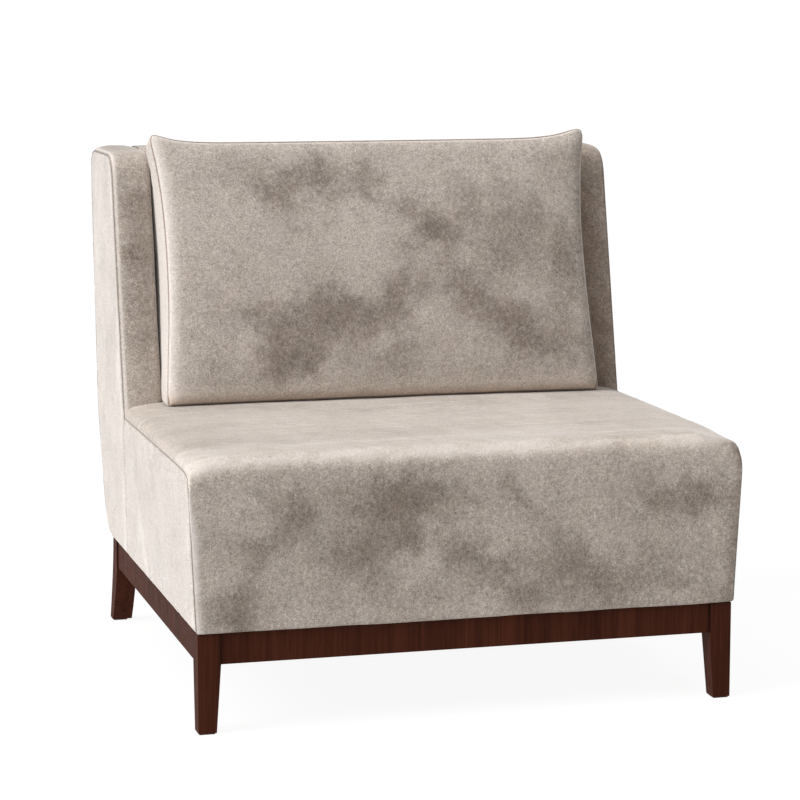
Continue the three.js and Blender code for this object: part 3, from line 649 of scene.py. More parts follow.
W = HALF_HIGH - 0.9
s_notch = 289.5 - NOTCH_Y
us = stations(2 * W, 8.0, must=(W - 391.6, W + 391.6)) - W
hem_at = seat_line.length - 3.4 - HEM * math.pi / 2
vs = stations(hem_at, 7.0, False, False, must=(s_notch,))
vs = np.r_[vs, hem_at + (seat_line.length - hem_at) * np.linspace(0, 1, 9)[1:]]
P = seat_surface(us[:, None] * np.ones(len(vs)), np.broadcast_to(seat_line.at(vs), (len(us), len(vs), 2)))
P = round_corner(round_corner(P, 0, -1, 5.0), -1, -1, 8.0)
flip_seat = normals(P)[len(us) // 2, 3, 2] < 0
facing = smooth_step((SEAT_TOP - crown_drop(P[..., 0]) - P[..., 2] - 6) / 22)
P, seam = sewn(P, flip_seat, {"i0": (7.5 - 2.0 * facing, 2.6 + 1.0 * facing), "i1": (7.5 - 2.0 * facing, 2.6 + 1.0 * facing)},
               puff=0.6, reach=60, rough=0.5, seed=11)
seam *= 0.42 + 0.58 * facing
P = wider(P)
P[..., 0] += 1.2 * smooth_step((P[..., 0] - 415) / 40) * smooth_step((P[..., 2] - 190) / 170)
um, vm = (us[:-1] + us[1:]) / 2, (vs[:-1] + vs[1:]) / 2
keep = ~((np.abs(um)[:, None] > 391.6) & (vm[None] < s_notch))
# the front's clouds, with an offset of 0.19 that darkens the whole front: painted shade
front_patch = 0.19 + 0.80 * blobs(CLOUDS_FRONT, P, lambda p: (p[..., 0], p[..., 2]))
top_patch = 0.60 * blobs(scatter(5, 26, (-440, -400), (440, 150), 24, 56, 0.8), P,
                         lambda p: (p[..., 0], p[..., 1]))
# painted shadow of the cushion, the top darker towards it; and a painted lighter band just behind the front edge
top_patch += 0.34 * smooth_step((P[..., 1] + 62 + 12 * waves(96, 70)(P)) / 120)
top_patch -= 0.34 * np.exp(-((P[..., 1] - SEAT_FRONT - 80 + 14 * waves(89, 120)(P)) / 55) ** 2)
depth_z = SEAT_TOP - crown_drop(P[..., 0]) - P[..., 2] + 2.5 * waves(95, 34)(P)
on_front = smooth_step((depth_z - 15 - 4.5 * smooth_step((P[..., 0] - 60) / 220)) / 13.0)
d_seat = border_distances(P)
# painted light: the whole top made a little lighter
top_patch -= 0.10
# painted shade: the top darker towards its right edge, which turns away from the light
top_patch += 0.36 * np.exp(-(d_seat["i1"] / 46.0) ** 2) + 1.10 * np.exp(-(d_seat["i1"] / 21.0) ** 2)
patch = front_patch * on_front + top_patch * (1 - on_front)
# painted highlight along the rounded front edge, fading out at the right; painted shade on that round's right end
patch -= 0.60 * np.exp(-((depth_z - 9) / 7.0) ** 2) * (1 - 0.9 * np.exp(-(d_seat["i1"] / 30.0) ** 2))
patch += 0.40 * np.exp(-(d_seat["i1"] / 34.0) ** 2) * np.exp(-((depth_z - 26) / 24.0) ** 2)
# painted shade: a crisp dark line in the front's left seam
seam = np.maximum(seam, 0.80 * np.exp(-(d_seat["i0"] / 2.6) ** 2) * facing)
# on the front: painted highlight just inside the left seam, painted light over its left part and below the top round;
# painted shade along the right edge
patch -= (1.1 * np.exp(-((d_seat["i0"] - 6.5) / 5.5) ** 2) + 0.42 * np.exp(-(d_seat["i0"] / 30.0) ** 2)
          - 0.40 * np.exp(-((d_seat["i1"] - 8) / 15.0) ** 2) + 0.20 * np.exp(-((depth_z - 42) / 34.0) ** 2)) * on_front
seat_top = new_object("seat_top_panel", P, grid_faces(len(us), len(vs), flip=flip_seat, keep=keep),
                      {"seam": seam, "patch": patch, "nap": 1 - on_front})
place(shell(seat_top, 2.2), "frame", velvet("velvet_seat", sheen=0.5), ["seat_cover"])

# the curve along which the seat's top and front panel meets the side panel
edges = {}
for sx, border in ((-1, P[0]), (1, P[-1])):
    e = border[vs >= s_notch - 0.1][:, 1:]
    e = e[e[:, 1] > FABRIC_BOTTOM + 3.4]
    edges[sx] = np.vstack([e, [e[-1, 0], FABRIC_BOTTOM]])
edge_yz = edges[1]
seam_rear = [(231.6, 164.6), (225.4, 200), (213.5, 260), (202.6, 320), (193, 396), tuple(edge_yz[0])]
# the sides' velvet: a lighter copy with fewer clouds and a tone of 1.05, for the sides facing the key light: painted
# light
side_velvet = velvet("velvet_side", move=(4.0, 2.0, 7.0), amount=0.55, bias=-0.24, tone=1.05, crush=1.25,
                     pale=(180, 171, 164))


def side_panel(name, sx, bottom, top, left, right, rolls, soft, step, patches, node, corners=(), seed=31,
               rough=0.8, faint=None):
    s = stations((bottom.length + top.length) / 2, step)
    t = stations((left.length + right.length) / 2, step)
    yz = coons(bottom, top, left, right, s / s[-1], t / t[-1])
    P = np.stack([sx * half_at(yz[..., 1]), yz[..., 0], yz[..., 1]], -1)
    for (ia, ja, r) in corners:
        P = round_corner(P, ia, ja, r)
    flip = normals(P)[3, 3, 0] * sx < 0
    P, seam = sewn(P, flip, rolls, soft, puff=1.2, reach=60, rough=rough, seed=seed, faint=faint)
    P = wider(P)
    patch = blobs(patches, P, lambda p: (p[..., 1], p[..., 2]))
    patch += 0.09 * waves(seed + 60, 40)(P * [1, 1, 0.3]) + 0.12 * waves(seed + 61, 60)(P) + 0.18 * waves(seed + 62, 150)(P)
    ahead = border_distances(P)["i0"]
    # painted highlight a little behind the front seam
    patch -= 0.35 * np.exp(-((ahead - 24) / 14.0) ** 2)
    # painted shade along the front seam, where the side rolls away from the light; on the back's sides a dark line in
    # the seam with the wing, stronger higher up
    seam_shade_line = 0.56 * np.exp(-(ahead / 5.6) ** 2)
    if name.startswith("back"):
        seam_shade_line = (0.14 + 0.62 * smooth_step((P[..., 2] - 425) / 25)) * np.exp(-(ahead / 8.0) ** 2)
    seam = np.maximum(np.minimum(seam, 0.72), seam_shade_line)
    P, (seam, patch) = turned_in(P, np.array([-sx, 0.0, 0.0]), (seam, patch))
    ob = new_object(name, P, grid_faces(len(s) + 2, len(t) + 2, flip=flip), {"seam": seam, "patch": patch})
    return place(shell(ob, 2.0), "frame", side_velvet, [node])


for side, sx in (("left", -1), ("right", 1)):
    edge_yz = edges[sx]
    corner = int(np.argmax(-edge_yz[:, 0] + edge_yz[:, 1]))
    side_panel(
        f"seat_side_panel_{side}", sx,
        Line([tuple(edge_yz[-1]), (231.2, FABRIC_BOTTOM)]),
        Line(edge_yz[:corner + 1][::-1]),
        Line(edge_yz[corner:][::-1]),
        Line(seam_rear, 2),
        {"i0": (6.5, 3.3), "i1": (3.4, 1.8), "j0": (4.0, 3.0), "j1": (3.0, 1.2)},
        {"i0": (16, 0.8), "j1": (16, 0.8), "i1": (9, 0.7)},
        8.5, scatter(7 + sx, 5, (-380, 190), (180, 400), 24, 50, 0.6), f"seat_side_cover_{side}",
        corners=((0, 0, 4.0),), seed=31 + sx, faint={"j1": 0.4, "i1": 0.7})

# ----------------------------------------------------------------- back covers
rear_points = [(520.6, 861), (521, 782), (503.5, 596), (488, 405), (478.4, 285), (473.2, 224), (463.0, 190),
               (444, 171.6), (418, 165.2), (404, 164.6)]
rear_curve = Line(rear_points, 2)
wing_line = Line([(wing_front(402), 402), (wing_front(700), 700), (wing_front(826), 826), (279.8, 846),
                  (288.0, 864.5), (302.5, 879.2), (323.5, 885.4), (360, 885.6), (460, 885.6), (488.6, 885.4),
                  (507, 878.4), (518, 864.6), (518.6, 858)], 2)
wing_velvet = velvet("velvet_wing", move=(1.3, 6.0, 2.2), amount=0.95, bias=0.05, tone=0.95)
R_IN = 11.0
for side, sx in (("left", -1), ("right", 1)):
    vs = stations(wing_line.length, 6.5, False, False)
    F = wing_line.at(vs)
    tangent = unit(np.gradient(F, axis=0))
    e = np.stack([tangent[:, 1], -tangent[:, 0]], -1)          # into the wing
    inner_x = WING_IN
    rear_line = Line([(inside_back(402) + 2, 402), (inside_back(842) + 2, 842), (392, 856), (400, 863),
                      (409, 867), (420, 869), (440, 870), (500, 870.4), (512, 862), (516, 858)])
    # walk the rear border along with the front line
    key_f = [0, np.interp(842, F[:, 1][:int(len(F) * 0.8)], vs[:int(len(F) * 0.8)]),
             wing_line.length - 200, wing_line.length]
    key_r = [0, rear_line.s[1], rear_line.s[5], rear_line.length]
    back_pts = rear_line.at(np.interp(vs, key_f, key_r))
    depth_in = 15.0
    start = F + e * depth_in
    cols = []
    for k in np.linspace(0, 1, 9)[:-1]:                        # inner face
        q = back_pts * (1 - k) + start * k
        cols.append((inner_x * np.ones(len(vs)), q))
    for dd in (depth_in, R_IN + 1.5):
        cols.append((inner_x * np.ones(len(vs)), F + e * dd))
    for k in range(0, 9):                                      # round inner corner
        th = math.radians(90 * k / 8)
        cols.append(((inner_x + R_IN * (1 - math.cos(th))) * np.ones(len(vs)), F + e * (R_IN * (1 - math.sin(th)))))
    front_w = 461.9 - (inner_x + R_IN)
    for w in stations(front_w, 6.0, False, True)[1:]:
        cols.append(((inner_x + R_IN + w) * np.ones(len(vs)), F))
    P = np.stack([np.stack([sx * x, q[:, 0], q[:, 1]], -1) for x, q in cols], 0)
    ax = np.abs(P[..., 0])
    drop = 1.7 * smooth_step((412 - ax) / 20) + 5.5 * np.clip((ax - 434) / 27, 0, 1) ** 1.6
    P[..., 2] -= drop * smooth_step((P[..., 2] - 815) / 66)
    # a little fullness of the front face
    full = 2.2 * np.sin(np.clip((ax - 396) / (461 - 396), 0, 1) * math.pi) * (P[..., 1] < 330)
    P[..., 1] -= full * smooth_step((860 - P[..., 2]) / 60)
    P[..., 0] = np.where(ax > 440, P[..., 0] * half_at(P[..., 2]) / HALF_HIGH, P[..., 0])
    N = normals(P)
    mid = N[-12, len(vs) // 3]
    flip = mid[1] > 0
    P, seam = sewn(P, flip, {"i1": (6.5, 3.4)}, {"i1": (16, 1.0)}, puff=0, rough=0.4, seed=51 + sx,
                   faint={"i1": 0.55})
    P = wider(P)
    across = np.clip((np.abs(P[..., 0]) - 392) / 70, 0, 1)
    mottle = blobs(CLOUDS_WING, P, lambda p: (np.abs(p[..., 0]), p[..., 2]))
    outer = border_distances(P)["i1"]
    if sx < 0:
        patch = (0.50 + 0.40 * smooth_step((P[..., 2] - 640) / 80)) * mottle - 0.25 * np.exp(-((across - 0.06) / 0.12) ** 2)
        # painted highlight on the wing's front just inside its outer seam; the front also a little lighter low down
        patch -= 1.15 * np.exp(-((outer - 6.5) / 3.6) ** 2) + 0.16 * smooth_step((545 - P[..., 2]) / 50)
        patch += 0.26 * np.exp(-((P[..., 2] - 702) / 26) ** 2) * smooth_step((across - 0.35) / 0.2) * smooth_step((outer - 5) / 6)
    else:
        # painted shade: the right wing darker overall, darkest by the cushion whose shadow it lies in, and at its
        # outer edge
        patch = 0.84 + 0.75 * mottle - 0.58 * across + 0.75 * smooth_step((across - 0.955) / 0.035)
        patch -= 0.30 * np.exp(-((P[..., 2] - 625) / 60) ** 2) + 0.16
    # painted shade: a dark line at the outer seam, an outline on the right wing's edge
    seam = np.maximum(seam, (0.88 if sx < 0 else 0.62) * np.exp(-(outer / 2.7) ** 2))
    # painted shade deep in the crevice, on the wing's inner face
    painted_deep_shade = smooth_step((398 - np.abs(P[..., 0])) / 4) * smooth_step((border_distances(P)["i0"].max() - outer - 0.0) / 1.0)
    painted_deep_shade = painted_deep_shade * smooth_step((outer - 96) / 14)
    # painted shade over the whole right wing
    if sx > 0:
        painted_deep_shade = np.maximum(painted_deep_shade, 0.20)
        patch += 0.10
    # a warm tint painted on the shaded right wing as bounce light
    ob = new_object(f"wing_panel_cover_{side}", P, grid_faces(len(cols), len(vs), flip=flip),
                    {"seam": seam, "patch": patch, "painted_deep_shade": painted_deep_shade, "painted_bounce": np.full(patch.shape, 0.4 if sx > 0 else 0.0)})
    place(shell(ob, 2.0), "frame", wing_velvet, [f"wing_cover_{side}"])
wing_edge = P[-1][:, 1:]

# inside back, carried over the top rail
f = inside_back
inside_line = Line([(518.4, 862), (507, 878.4), (488.6, 885.8), (f(846) + 45, 886.2), (f(846) + 24, 882.4),
                    (f(846) + 7.4, 868.0), (f(846), 846), (f(700), 700), (f(452), 452), (f(404), 404)], 2)
us = stations(2 * 391.8, 9.0) - 391.8
vs = stations(inside_line.length, 7.5, True, False)
q = inside_line.at(vs)
P = np.stack([us[:, None] * np.ones(len(vs)), np.broadcast_to(q[:, 0], (len(us), len(vs))),
              np.broadcast_to(q[:, 1], (len(us), len(vs)))], -1)
flip = normals(P)[len(us) // 2, -20, 1] > 0
P, seam = sewn(P, flip, {"i0": (4.5, 1.8), "i1": (4.5, 1.8), "j0": (4, 2.0)}, puff=1.0, reach=50, rough=0.7, seed=61)
patch = blobs(scatter(21, 22, (-380, 440), (380, 880), 26, 56), P, lambda p: (p[..., 0], p[..., 2]))
P, (seam, patch) = turned_in(P, -normals(P, flip), (seam, patch), 8.0, (1, 1, 0, 0))
ob = new_object("inside_back_panel", P, grid_faces(len(us) + 2, len(vs), flip=flip), {"seam": seam, "patch": patch})
place(shell(ob, 2.0), "frame", velvet("velvet_inside", move=(2.2, 0.4, 5.1)), ["inside_back_cover"])

# outer back
half = HALF_HIGH - 1.6
us = stations(2 * half, 9.0) - half
vs = stations(rear_curve.length, 8.0)
q = rear_curve.at(vs)
P = np.stack([us[:, None] * half_at(q[:, 1])[None] / HALF_HIGH, np.broadcast_to(q[:, 0], (len(us), len(vs))),
              np.broadcast_to(q[:, 1], (len(us), len(vs)))], -1)
flip = normals(P)[len(us) // 2, 20, 1] < 0
P, seam = sewn(P, flip, {"i0": (5.0, 3.2), "i1": (5.0, 3.2), "j0": (4.5, 2.6), "j1": (5, 2.0)},
               {"i0": (22, 1.0), "i1": (22, 1.0), "j0": (14, 1.8)}, puff=1.2, reach=60, rough=0.9, seed=71)
P = wider(P)
patch = blobs(scatter(23, 30, (-430, 200), (430, 840), 26, 60), P, lambda p: (p[..., 0], p[..., 2]))
ob = new_object("outside_back_panel", P, grid_faces(len(us), len(vs), flip=flip), {"seam": seam, "patch": patch})
place(shell(ob, 2.0), "frame", velvet("velvet_outside", move=(7.2, 3.3, 1.1)), ["outside_back_cover"])

# the back's sides, sewn to the wings' rims in front and above and to the outer back behind
rear_edge = P[-1][::-1, 1:]
low = int(np.argmin(np.abs(rear_edge[:, 1] - 196)))
rear_edge[0] = (404, 164.6)
wing_edge = wing_edge[wing_edge[:, 0] < 506.0]
rear_edge = rear_edge[rear_edge[:, 1] < 855.0]
_a, _b = wing_edge[-1], rear_edge[-1]
_da, _db = unit(wing_edge[-1] - wing_edge[-4]), unit(rear_edge[-1] - rear_edge[-3])
_k = np.linalg.solve(np.stack([_da, -_db], 1), _b - _a)
shared = (_a + _da * _k[0]) * 0.86 + (_a + _b) * 0.07
turn = int(np.argmin(np.linalg.norm(wing_edge - [298.5, 863.6], axis=1)))
back_front = np.vstack([[(232.0, 164.6), (225.8, 200), (213.9, 260), (203, 320), (193.4, 396)], [seam_rear[-1]],
                        wing_edge[:turn + 1][wing_edge[:turn + 1, 1] > 436]])
back_top = np.vstack([wing_edge[turn:], [shared]])
back_rear = np.vstack([rear_edge[low:], [shared]])
back_bottom = np.vstack([[(232.0, 164.6)], rear_edge[:low + 1]])
for side, sx in (("left", -1), ("right", 1)):
    side_panel(
        f"back_side_panel_{side}", sx,
        Line(back_bottom), Line(back_top), Line(back_front), Line(back_rear),
        {"i0": (4.2, 1.8), "i1": (3.4, 1.6), "j0": (4.5, 3.0), "j1": (3.4, 1.5)},
        {"i0": (16, 0.8), "i1": (20, 0.8), "j1": (16, 0.8)},
        8.5, scatter(17 + sx, 5, (240, 220), (480, 820), 24, 50, 0.6), f"back_side_cover_{side}", seed=41 + sx,
        faint={"i0": 0.85, "j1": 0.55})

# ----------------------------------------------------------- loose back cushion
CUSHION_W = 66.0                 # the front seam, forward of the wings' front plane
CUSHION_REAR = -93.0


def lean(u, v, w):
    return np.stack([u, 190.2 + v * SIN - w * COS, 440.0 + v * COS + w * SIN], -1)


def low_at(w, u=0.0):
    """the flat underside, which follows the seat's crown towards its corners"""
    return (CUSHION_BOTTOM - 3.0 - 0.7 * crown_drop(u) - 440.0 - w * SIN) / COS


half_side = [[(392.6, 0.0), (396.4, 8), (396.0, 24), (391.6, 85), (386.0, 160), (384.4, 250), (386.6, 340),
              (394.4, 415), (400.8, 448), (403.2, 461), (401.2, 471.0)],
             [(396.2, 0.0), (401.8, 8), (401.8, 26), (399.4, 70), (395.8, 120), (392.4, 185), (390.2, 250), (389.4, 300),
              (391.2, 350), (396.2, 415), (401.2, 448), (403.4, 461), (401.2, 471.0)]]
half_top = [[(401.2, 471.0), (397.6, 474.4), (391, 474.4), (382, 471.2), (358, 464.4), (318, 459.8), (250, 458.6),
             (0, 458.4)],
            [(401.2, 471.0), (396.6, 475.4), (388, 475.6), (376, 472.2), (352, 465.4), (312, 460.2), (250, 458.8),
             (0, 458.4)]]


def outline(rear, w):
    """left, top, right and bottom curves of the cushion at a depth w"""
    def clip(p):
        u, v = p
        return (min(u, 388.6), min(v, 456.0)) if rear else (u, v)
    sides = [[clip(p) for p in half_side[k]] for k in (0, 1)]
    for side in sides:
        side[0] = (side[0][0] - 0.5, float(low_at(w, 390)))
        # at the rear the underside is higher than the side's lowest points
        side[1:] = [p for p in side[1:] if p[1] > side[0][1] + 1]
    top = [[clip(p) for p in half_top[k]] for k in (0, 1)]
    if rear:
        for side in sides:
            side[-1] = (388.0, 455.6)
        top = [[sides[0][-1]] + [p for p in h[1:] if p[0] < 386] for h in top]
    left = Line([(-u, v) for u, v in sides[0]], 2)
    right = Line(sides[1], 2)
    tops = Line([(-u, v) for u, v in top[0]] + [(u, v) for u, v in top[1][::-1][1:]], 2)
    flat = np.linspace(-sides[0][0][0], sides[1][0][0], 61)
    low = low_at(w, np.clip(np.abs(flat), 0, 390))
    bottom = Line(np.stack([flat, low], -1))
    return bottom, tops, left, right


def panel_grid(rear, w, s, t):
    g = coons(*outline(rear, w), s, t)
    return lean(g[..., 0], g[..., 1], np.full(g.shape[:2], w))


def ring(rear, w, s, t):
    """the outline as one loop: up the left, over the top, down the right, back along the bottom"""
    bottom, tops, left, right = outline(rear, w)
    return np.vstack([left.at(t * left.length)[:-1], tops.at(s * tops.length)[:-1],
                      right.at(t[::-1] * right.length)[:-1], bottom.at(s[::-1] * bottom.length)[:-1]])


def band_grid(ws, s, t):
    rear, front = ring(True, 0.0, s, t), ring(False, 0.0, s, t)
    n_side = len(t) - 1
    total = len(rear)
    on_bottom = np.zeros(total, bool)
    on_bottom[2 * n_side + len(s) - 1:] = True
    rows = []
    tt = np.clip(np.r_[t[:-1], np.ones(len(s) - 1), t[::-1][:-1], np.zeros(len(s) - 1)], 0, 1)
    for w in ws:
        gu = smooth_step((w - 2.0) / 20.0)
        gv = np.clip((w - 2.0) / (CUSHION_W - 2.0), 0, 1) ** 0.9
        u = rear[:, 0] * (1 - gu) + front[:, 0] * gu
        v = rear[:, 1] * (1 - gv) + front[:, 1] * gv
        # the lowest point follows the flat underside
        v = v + (low_at(w) - low_at(0.0)) * (1 - tt)
        rows.append(lean(u, v, np.full(total, w)))
    return np.stack(rows, 0), on_bottom


def resample(field, si, ti, s, t):
    """a smooth field on a coarse grid, read at other stations"""
    a = np.stack([[np.interp(s, si, field[:, j, k]) for j in range(field.shape[1])] for k in range(3)], -1)
    a = np.transpose(a, (1, 0, 2))
    b = np.stack([[np.interp(t, ti, a[i, :, k]) for i in range(a.shape[0])] for k in range(3)], -1)
    return b


def inflate():
    """the cushion's three panels, blown up a little between their seams"""
    cs, ct, cw = np.linspace(0, 1, 71), np.linspace(0, 1, 41), np.linspace(CUSHION_REAR, CUSHION_W, 15)
    front, back = panel_grid(False, CUSHION_W, cs, ct), panel_grid(True, CUSHION_REAR, cs, ct)
    band, on_bottom = band_grid(cw, cs, ct)
    verts = np.vstack([front.reshape(-1, 3), back.reshape(-1, 3), band.reshape(-1, 3)])
    nf = front.shape[0] * front.shape[1]
    m = band.shape[1]
    faces = np.vstack([grid_faces(len(cs), len(ct), start=0), grid_faces(len(cs), len(ct), start=nf, flip=True),
                       grid_faces(len(cw), m, closed=True, start=2 * nf)])
    me = bpy.data.meshes.new("cushion_sim")
    me.from_pydata((verts * 0.001).tolist(), [], faces.tolist())
    bm = bmesh.new()
    bm.from_mesh(me)
    layer = bm.verts.layers.int.new("source")
    for v in bm.verts:
        v[layer] = v.index
    bmesh.ops.remove_doubles(bm, verts=bm.verts, dist=0.0002)
    bmesh.ops.recalc_face_normals(bm, faces=bm.faces)
    bm.to_mesh(me)
    source = np.array([v[layer] for v in bm.verts])
    bm.free()
    ob = bpy.data.objects.new("cushion_sim", me)
    bpy.context.scene.collection.objects.link(ob)
    pin = ob.vertex_groups.new(name="pin")
    base = 2 * nf
    ring_at = (source - base) % m
    row_at = (source - base) // m
    held = [int(i) for i in range(len(source))
            if source[i] >= base and (on_bottom[ring_at[i]] or row_at[i] in (0, len(cw) - 1))]
    fs = source < base
    i_f, j_f = (source % nf) // len(ct), (source % nf) % len(ct)
    held += [int(i) for i in np.nonzero(fs & ((i_f == 0) | (i_f == len(cs) - 1) | (j_f == 0) | (j_f == len(ct) - 1)))[0]]
    pin.add(sorted(set(held)), 1.0, "REPLACE")
    cloth = ob.modifiers.new("cloth", "CLOTH")
    st = cloth.settings
    st.quality = 6
    st.mass = 0.3
    st.tension_stiffness = st.compression_stiffness = 18
    st.shear_stiffness = 6
    st.bending_stiffness = 0.6
    st.use_pressure = True
    st.uniform_pressure_force = 4.0
    st.vertex_group_mass = "pin"
    st.effector_weights.gravity = 0
    cloth.collision_settings.use_collision = False
    cloth.point_cache.frame_start, cloth.point_cache.frame_end = 1, 20
    scene = bpy.context.scene
    for k in range(1, 21):
        scene.frame_set(k)
    dg = bpy.context.evaluated_depsgraph_get()
    ev = ob.evaluated_get(dg).to_mesh()
    co = np.array([v.co for v in ev.vertices]) * 1000
    ob.evaluated_get(dg).to_mesh_clear()
    start = np.array([v.co for v in me.vertices]) * 1000
    moved = np.zeros((len(verts), 3))
    have = np.zeros(len(verts), bool)
    moved[source] = co - start
    have[source] = True
    scene.frame_set(1)
    bpy.data.objects.remove(ob)
    moved[~have] = 0.0
    return ((cs, ct, cw), moved[:nf].reshape(front.shape), moved[nf:2 * nf].reshape(back.shape),
            moved[2 * nf:].reshape(band.shape))


(cs, ct, cw), move_front, move_back, move_band = inflate()


def share(move, target):
    big = np.percentile(np.linalg.norm(move, axis=-1), 99.5)
    print("cushion swell", round(float(big), 2))
    return move * (target / max(big, 1e-6))


move_front, move_back, move_band = share(move_front, 14.0), share(move_back, 1.2), share(move_band, 2.6)

u_axis, w_axis = np.array([1.0, 0, 0]), np.array([0, -COS, SIN])
bottom_l, top_l, left_l, right_l = outline(False, CUSHION_W)
s = stations(bottom_l.length, 8.0) / bottom_l.length
s = np.unique(np.r_[s, 0.5 - ZIP_HALF / bottom_l.length, 0.5 + ZIP_HALF / bottom_l.length])
t = stations(left_l.length, 8.0)
t = t / t[-1]


def cushion_face(rear, w, move, fullness, sign, seed):
    P = panel_grid(rear, w, s, t)
    P = P + resample(move, cs, ct, s, t)
    d = border_distances(P)
    near = np.minimum.reduce(list(d.values()))
    # the face stands full a little way in from its seams
    k = np.ones(near.shape)
    for key, reach in (("i0", 26), ("i1", 28), ("j1", 34), ("j0", 22)):
        k *= 1 - (1 - np.clip(d[key] / reach, 0, 1)) ** 2.4
    P = P + sign * w_axis * (fullness * k)[..., None]
    P = P + sign * w_axis * (0.9 * (waves(seed, 190)(P) * 0.7 + waves(seed + 1, 75)(P) * 0.3) * k)[..., None]
    tug = waves(seed + 2, 19)(P) * waves(seed + 3, 110)(P)
    P = P + sign * w_axis * (0.35 * tug * np.exp(-((near - 9) / 7) ** 2))[..., None]
    depth, radius = 2.4, 5.5
    total = np.zeros(near.shape)
    for key in d:
        total += quarter(d[key] / radius) ** 2
    P = P - sign * w_axis * (depth * np.sqrt(np.clip(total, 0, 1)))[..., None]
    # and its rim is drawn in to the seam
    rim = np.zeros(P.shape)
    up = np.array([0, SIN, COS])
    for key, way in (("i0", u_axis), ("i1", -u_axis), ("j0", up), ("j1", -up)):
        rim += way * (depth * (1 - np.clip(d[key] / radius, 0, 1)) ** 1.6)[..., None]
    # painted shade: a dark line along the seams
    seam = np.exp(-(near / 1.3) ** 2)
    return P + rim, seam


face_front, seam_f = cushion_face(False, CUSHION_W, move_front, 8.5, 1.0, 81)
face_back, seam_b = cushion_face(True, CUSHION_REAR, move_back, 1.2, -1.0, 85)

zip_w = -9.2
ws = list(stations(CUSHION_W - CUSHION_REAR, 7.0) + CUSHION_REAR)
ws = [w for w in ws if abs(w - zip_w) > 9]
ws = np.array(sorted(ws + [zip_w + k for k in (-8.5, -6.4, -5.2, -4.4, 4.4, 5.2, 6.4, 8.5)]))
B, low_side = band_grid(ws, s, t)
nring = B.shape[1]
ring_s = np.r_[t[:-1], 1 + s[:-1], 2 + t[:-1], 3 + s[:-1]]
# the coarse loop's own stations
ring_c = np.r_[ct[:-1], 1 + cs[:-1], 2 + (1 - ct[::-1])[:-1], 3 + (1 - cs[::-1])[:-1]]
ring_f = np.r_[t[:-1], 1 + s[:-1], 2 + (1 - t[::-1])[:-1], 3 + (1 - s[::-1])[:-1]]
mv = np.stack([[np.interp(ws, cw, move_band[:, j, k]) for j in range(move_band.shape[1])] for k in range(3)], -1)
mv = np.transpose(mv, (1, 0, 2))
mv = np.stack([[np.interp(ring_f, np.r_[ring_c, 4.0], np.r_[mv[i, :, k], mv[i, 0, k]]) for i in range(len(ws))]
               for k in range(3)], -1)
near_rear = np.clip((ws - 2.0) / 16.0, 0.35, 1)[:, None, None]
B = B + mv * near_rear
# outward direction of the band in the plane of the outline
plane = B[len(ws) // 2]
tan = unit(np.roll(plane, -3, 0) - np.roll(plane, 3, 0))
outward = unit(np.cross(tan, w_axis))
centre = plane.mean(0)
if ((plane - centre) * outward).sum(-1).mean() < 0:
    outward = -outward
outward[low_side] = np.array([0, 0, -1.0])
d0 = (ws - CUSHION_REAR)[:, None] * np.ones(nring)
d1 = (CUSHION_W - ws)[:, None] * np.ones(nring)
crown = np.zeros(d0.shape)
is_top = np.zeros(nring, bool)
is_top[len(t) - 1:len(t) + len(s) - 2] = True
span = np.sin(np.clip((ws + 93) / 159.0, 0, 1) * math.pi)[:, None]
crown += span * 3.4 * is_top[None]
crown += (0.8 * span * (~is_top & ~low_side)[None])
mix_k = np.hanning(25) / np.hanning(25).sum()
crown = np.stack([np.convolve(np.r_[c[-12:], c, c[:12]], mix_k, "valid") for c in crown], 0)
crown[:, low_side] = 0
B = B + outward[None] * crown[..., None]
depth, radius = 2.4, 5.5
roll = np.maximum(quarter(d0 / radius), quarter(d1 / radius)) * depth
draw = depth * ((1 - np.clip(d1 / radius, 0, 1)) ** 1.6 - (1 - np.clip(d0 / radius, 0, 1)) ** 1.6)
B = B - outward[None] * roll[..., None] - w_axis * draw[..., None]
# the first and last loops are the faces' own rims


def rim_of(face):
    return np.vstack([face[0, :-1], face[:-1, -1], face[-1, ::-1][:-1], face[::-1, 0][:-1]])


B[-1], B[0] = rim_of(face_front), rim_of(face_back)
ux = B[..., 0]
slot_w = np.abs(ws - zip_w)
lip = (np.exp(-((slot_w - 4.4) / 2.0) ** 2))[:, None] * (np.abs(ux) < ZIP_HALF + 4) * low_side[None]
B[..., 2] += 0.9 * lip
# painted shade along the band's seams
seam_band = np.exp(-(np.minimum(d0, d1) / 1.3) ** 2)
um = (ux[:, :] + np.roll(ux, -1, 1)) / 2
in_slot = ((ws[:-1] >= zip_w - 4.5) & (ws[1:] <= zip_w + 4.5))[:, None] & (np.abs(um[:-1]) < ZIP_HALF) \
    & (low_side & np.roll(low_side, -1))[None]
n0 = len(s) * len(t)
f_front = grid_faces(len(s), len(t), start=0)
f_back = grid_faces(len(s), len(t), start=n0, flip=True)
f_band = grid_faces(len(ws), nring, closed=True, start=2 * n0, keep=~in_slot)
all_v = np.vstack([face_front.reshape(-1, 3), face_back.reshape(-1, 3), B.reshape(-1, 3)])


def cushion_uv(p):
    q = p - np.array([0, 190.2, 440.0])
    return p[..., 0], q[..., 1] * SIN + q[..., 2] * COS


d_face = border_distances(face_front)
